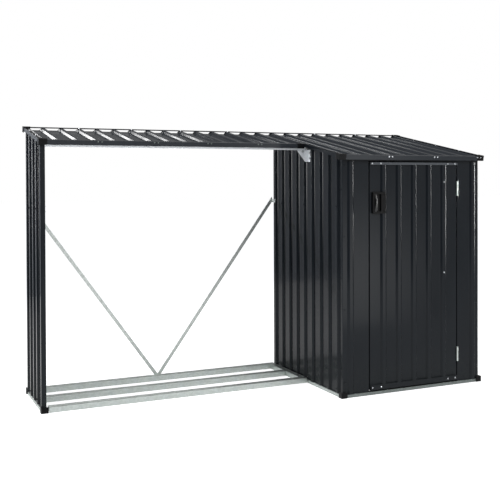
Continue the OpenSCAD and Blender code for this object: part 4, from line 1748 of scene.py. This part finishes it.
@dataclass(frozen=True)
class Board:
    """A matt card that stands upright outside the picture, where only glossy surfaces show it."""

    name: str
    line: tuple[Point, Point]
    high: float
    colour: str = WHITE

    def face(self, tree: Tree) -> Socket:
        """Shader of the card."""
        return add_node(tree, "ShaderNodeBsdfDiffuse", {"Color": linear(self.colour)})

    def stand(self) -> None:
        """Stand the board on its line on the floor."""
        ends = [Vector((*end, 0.0)) for end in self.line]
        along = ends[1] - ends[0]
        mesh = bmesh.new()
        bmesh.ops.create_grid(mesh, x_segments=1, y_segments=1, size=0.5)
        bmesh.ops.scale(mesh, vec=(along.length, self.high, 1.0), verts=mesh.verts[:])
        turn = Matrix.Rotation(math.atan2(along.y, along.x), 4, "Z") @ Matrix.Rotation(math.pi / 2, 4, "X")
        middle = Matrix.Translation((ends[0] + ends[1]) / 2 + UP * (self.high / 2))
        bmesh.ops.transform(mesh, matrix=middle @ turn, verts=mesh.verts[:])
        board = link_mesh(self.name, mesh, new_material(f"{self.name}_face", self.face))
        board.visible_camera = False
        board.visible_diffuse = False
        board.visible_shadow = False


@dataclass(frozen=True)
class LightStrip(Board):
    """An upright strip of light beside the store that fades out towards the floor."""

    fade: Point = (0.0, 1.0)
    strength: float = 1.0

    def face(self, tree: Tree) -> Socket:
        """Light the strip, from nothing to its full strength over the heights of the fade.

        Args:
            tree: The material's node tree.

        Returns:
            The strip's shader.
        """
        place = add_node(tree, "ShaderNodeTexCoord", out="Object")
        height = add_node(tree, "ShaderNodeSeparateXYZ", {0: place}, "Z")
        power = add_node(
            tree,
            "ShaderNodeMapRange",
            {"Value": height, 1: self.fade[0], 2: self.fade[1], 3: 0.0, 4: self.strength},
            interpolation_type="SMOOTHERSTEP",
        )
        return add_node(tree, "ShaderNodeEmission", {"Color": linear(self.colour), "Strength": power})


@dataclass(frozen=True)
class LightPanel(Board):
    """A low panel of light in front of the door that fades out from its middle."""

    middle: Place = (0.0, 0.0, 0.0)
    reach: float = 1.0
    power: Point = (1.0, 1.0)

    def face(self, tree: Tree) -> Socket:
        """Light the panel, from its power at the middle to that at its reach.

        Args:
            tree: The material's node tree.

        Returns:
            The panel's shader.
        """
        place = add_node(tree, "ShaderNodeTexCoord", out="Object")
        ends = {0: place, 1: self.middle}
        away = add_node(tree, "ShaderNodeVectorMath", ends, "Value", operation="DISTANCE")
        fade = add_node(
            tree,
            "ShaderNodeMapRange",
            {"Value": away, 1: 0.0, 2: self.reach, 3: self.power[0], 4: self.power[1]},
            interpolation_type="SMOOTHSTEP",
        )
        return add_node(tree, "ShaderNodeEmission", {"Color": linear(self.colour), "Strength": fade})


@dataclass
class Studio:
    """Pale floor, soft lamps, white surroundings, boards for the reflections, and the camera."""

    camera_at: Place = (-2.0212, -4.6228, 1.2086)
    yaw: float = 0.4538
    pitch: float = -0.0128
    roll: float = -0.0029
    focal_px: float = 871.86
    image_px: float = 500.0
    axis_px: Point = (295.0, 190.0)
    sensor_mm: float = 36.0
    far: float = 200.0
    floor_half: float = 40.0
    floor_drop: float = 0.0004
    floor_colour: str = "#ededed"
    floor_seen: float = 0.66
    floor_mirrored: float = 0.42
    ambient: float = 0.5
    ambient_colour: str = "#f2f5fa"
    ceiling: float = 0.17
    ceiling_from: Point = (0.05, 0.2)
    lamps: tuple[Lamp, ...] = (
        Lamp("key", (1.2, -5.2, 3.6), (0.3, 0.0, 0.8), (2.6, 2.2), 120.0),
        Lamp("side", (-4.4, -0.6, 2.6), (0.0, 0.0, 0.8), (1.6, 1.6), 55.0),
        Lamp("top", (0.0, 0.3, 4.8), (0.0, 0.0, 1.0), (3.6, 3.0), 110.0),
        # Two lamps for the bright streaks on the roof.
        Lamp("rear_slant", (-1.697, 4.5, 3.18), (-1.0, 0.2, 1.45), (0.14, 1.2), 5.4, True, 35.5),
        Lamp("rear_spark", (1.75, 4.5, 4.75), (0.7, 0.2, 1.45), (0.4, 1.6), 11.0, True, 62.0),
    )
    boards: tuple[Board, ...] = (
        # Grey for the side walls, black for the ribs' left flanks, light for the front.
        Board("grey_card", ((-6.5, 4.6), (-1.0, 4.6)), 2.35, "#d2d6dc"),
        Board("black_card", ((-4.6, -4.6), (-4.6, 0.4)), 2.2, "#101113"),
        LightPanel(
            "light_panel", ((0.55, -2.5), (2.55, -2.5)), 1.3, middle=(1.55, -2.5, 0.38), power=(3.6, 0.9)
        ),
        # Strips for the lines of light on the ribs of the walls and the door.
        LightStrip(
            "left_strip", ((-4.281, 1.817), (-4.119, 2.183)), 2.6, fade=(0.1, 1.7), strength=50.0
        ),
        LightStrip("right_strip", ((4.8, -1.1), (4.8, -0.3)), 1.9, fade=(0.0, 1.4), strength=58.0),
    )

    def build_camera(self) -> None:
        """Set the camera to the photograph's viewing angle."""
        data = bpy.data.cameras.new("camera")
        data.sensor_width = self.sensor_mm
        data.lens = self.focal_px / self.image_px * data.sensor_width
        data.shift_x = (self.image_px / 2 - self.axis_px[0]) / self.image_px
        data.shift_y = (self.axis_px[1] - self.image_px / 2) / self.image_px
        data.clip_end = self.far
        camera = bpy.data.objects.new("camera", data)
        turn = Matrix.Rotation(-self.yaw, 4, "Z") @ Matrix.Rotation(math.pi / 2 + self.pitch, 4, "X")
        camera.matrix_world = Matrix.Translation(self.camera_at) @ turn @ Matrix.Rotation(self.roll, 4, "Z")
        bpy.context.scene.collection.objects.link(camera)
        bpy.context.scene.camera = camera

    def build_world(self) -> None:
        """Make white surroundings that turn dark overhead for gloss, and a lower even light for the rest."""
        world = bpy.data.worlds.new("studio")
        world.use_nodes = True
        tree = world.node_tree
        tree.nodes.clear()
        seen, glossy = tell_rays(tree)
        way = add_node(tree, "ShaderNodeTexCoord", out="Generated")
        up = add_node(tree, "ShaderNodeSeparateXYZ", {0: way}, "Z")
        low, high = self.ceiling_from
        shade = add_node(
            tree,
            "ShaderNodeMapRange",
            {"Value": up, 1: low, 2: high, 3: 1.0, 4: self.ceiling},
            interpolation_type="SMOOTHSTEP",
        )
        light, mirror, white = (
            add_node(tree, "ShaderNodeBackground", {"Color": linear(colour), "Strength": strength})
            for colour, strength in ((self.ambient_colour, self.ambient), (WHITE, shade), (WHITE, 1.0))
        )
        shiny = add_node(tree, "ShaderNodeMixShader", {0: glossy, 1: light, 2: mirror})
        both = add_node(tree, "ShaderNodeMixShader", {0: seen, 1: shiny, 2: white})
        add_node(tree, "ShaderNodeOutputWorld", {"Surface": both})
        bpy.context.scene.world = world

    def floor_face(self, tree: Tree) -> Socket:
        """Shade the floor: matt, and lifted to white for the camera, for glass and for gloss.

        Args:
            tree: The material's node tree.

        Returns:
            The floor's shader.
        """
        seen, glossy = tell_rays(tree)
        straight = add_node(tree, "ShaderNodeMath", {0: seen, 1: self.floor_seen}, operation="MULTIPLY")
        parts = {0: glossy, 1: self.floor_mirrored, 2: straight}
        glow = add_node(tree, "ShaderNodeMath", parts, operation="MULTIPLY_ADD")
        matt = add_node(tree, "ShaderNodeBsdfDiffuse", {"Color": linear(self.floor_colour)})
        lift = add_node(tree, "ShaderNodeEmission", {"Color": linear(WHITE), "Strength": glow})
        return add_node(tree, "ShaderNodeAddShader", {0: matt, 1: lift})

    def build_floor(self) -> None:
        """Lay a white matt floor that keeps the object's shadow."""
        mesh = bmesh.new()
        bmesh.ops.create_grid(mesh, x_segments=1, y_segments=1, size=self.floor_half)
        bmesh.ops.translate(mesh, verts=mesh.verts, vec=(0.0, 0.0, -self.floor_drop))
        floor = link_mesh("floor", mesh, new_material("matt_white_floor", self.floor_face))

    def build(self) -> None:
        """Make the whole studio."""
        self.build_camera()
        self.build_world()
        self.build_floor()
        for board in self.boards:
            board.stand()
        for lamp in self.lamps:
            lamp.hang()
        bpy.context.scene.view_settings.view_transform = "Standard"


def main() -> None:
    """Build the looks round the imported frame, in order."""
    logging.basicConfig(level=logging.INFO, format="%(message)s")
    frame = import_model()
    finishes = Finishes()
    lay = Layout()
    for part in (Base(lay), Walls(lay), Roof(lay), Door(lay)):
        part.dress(frame, finishes)
    Studio().build()


if __name__ == "__main__":
    main()
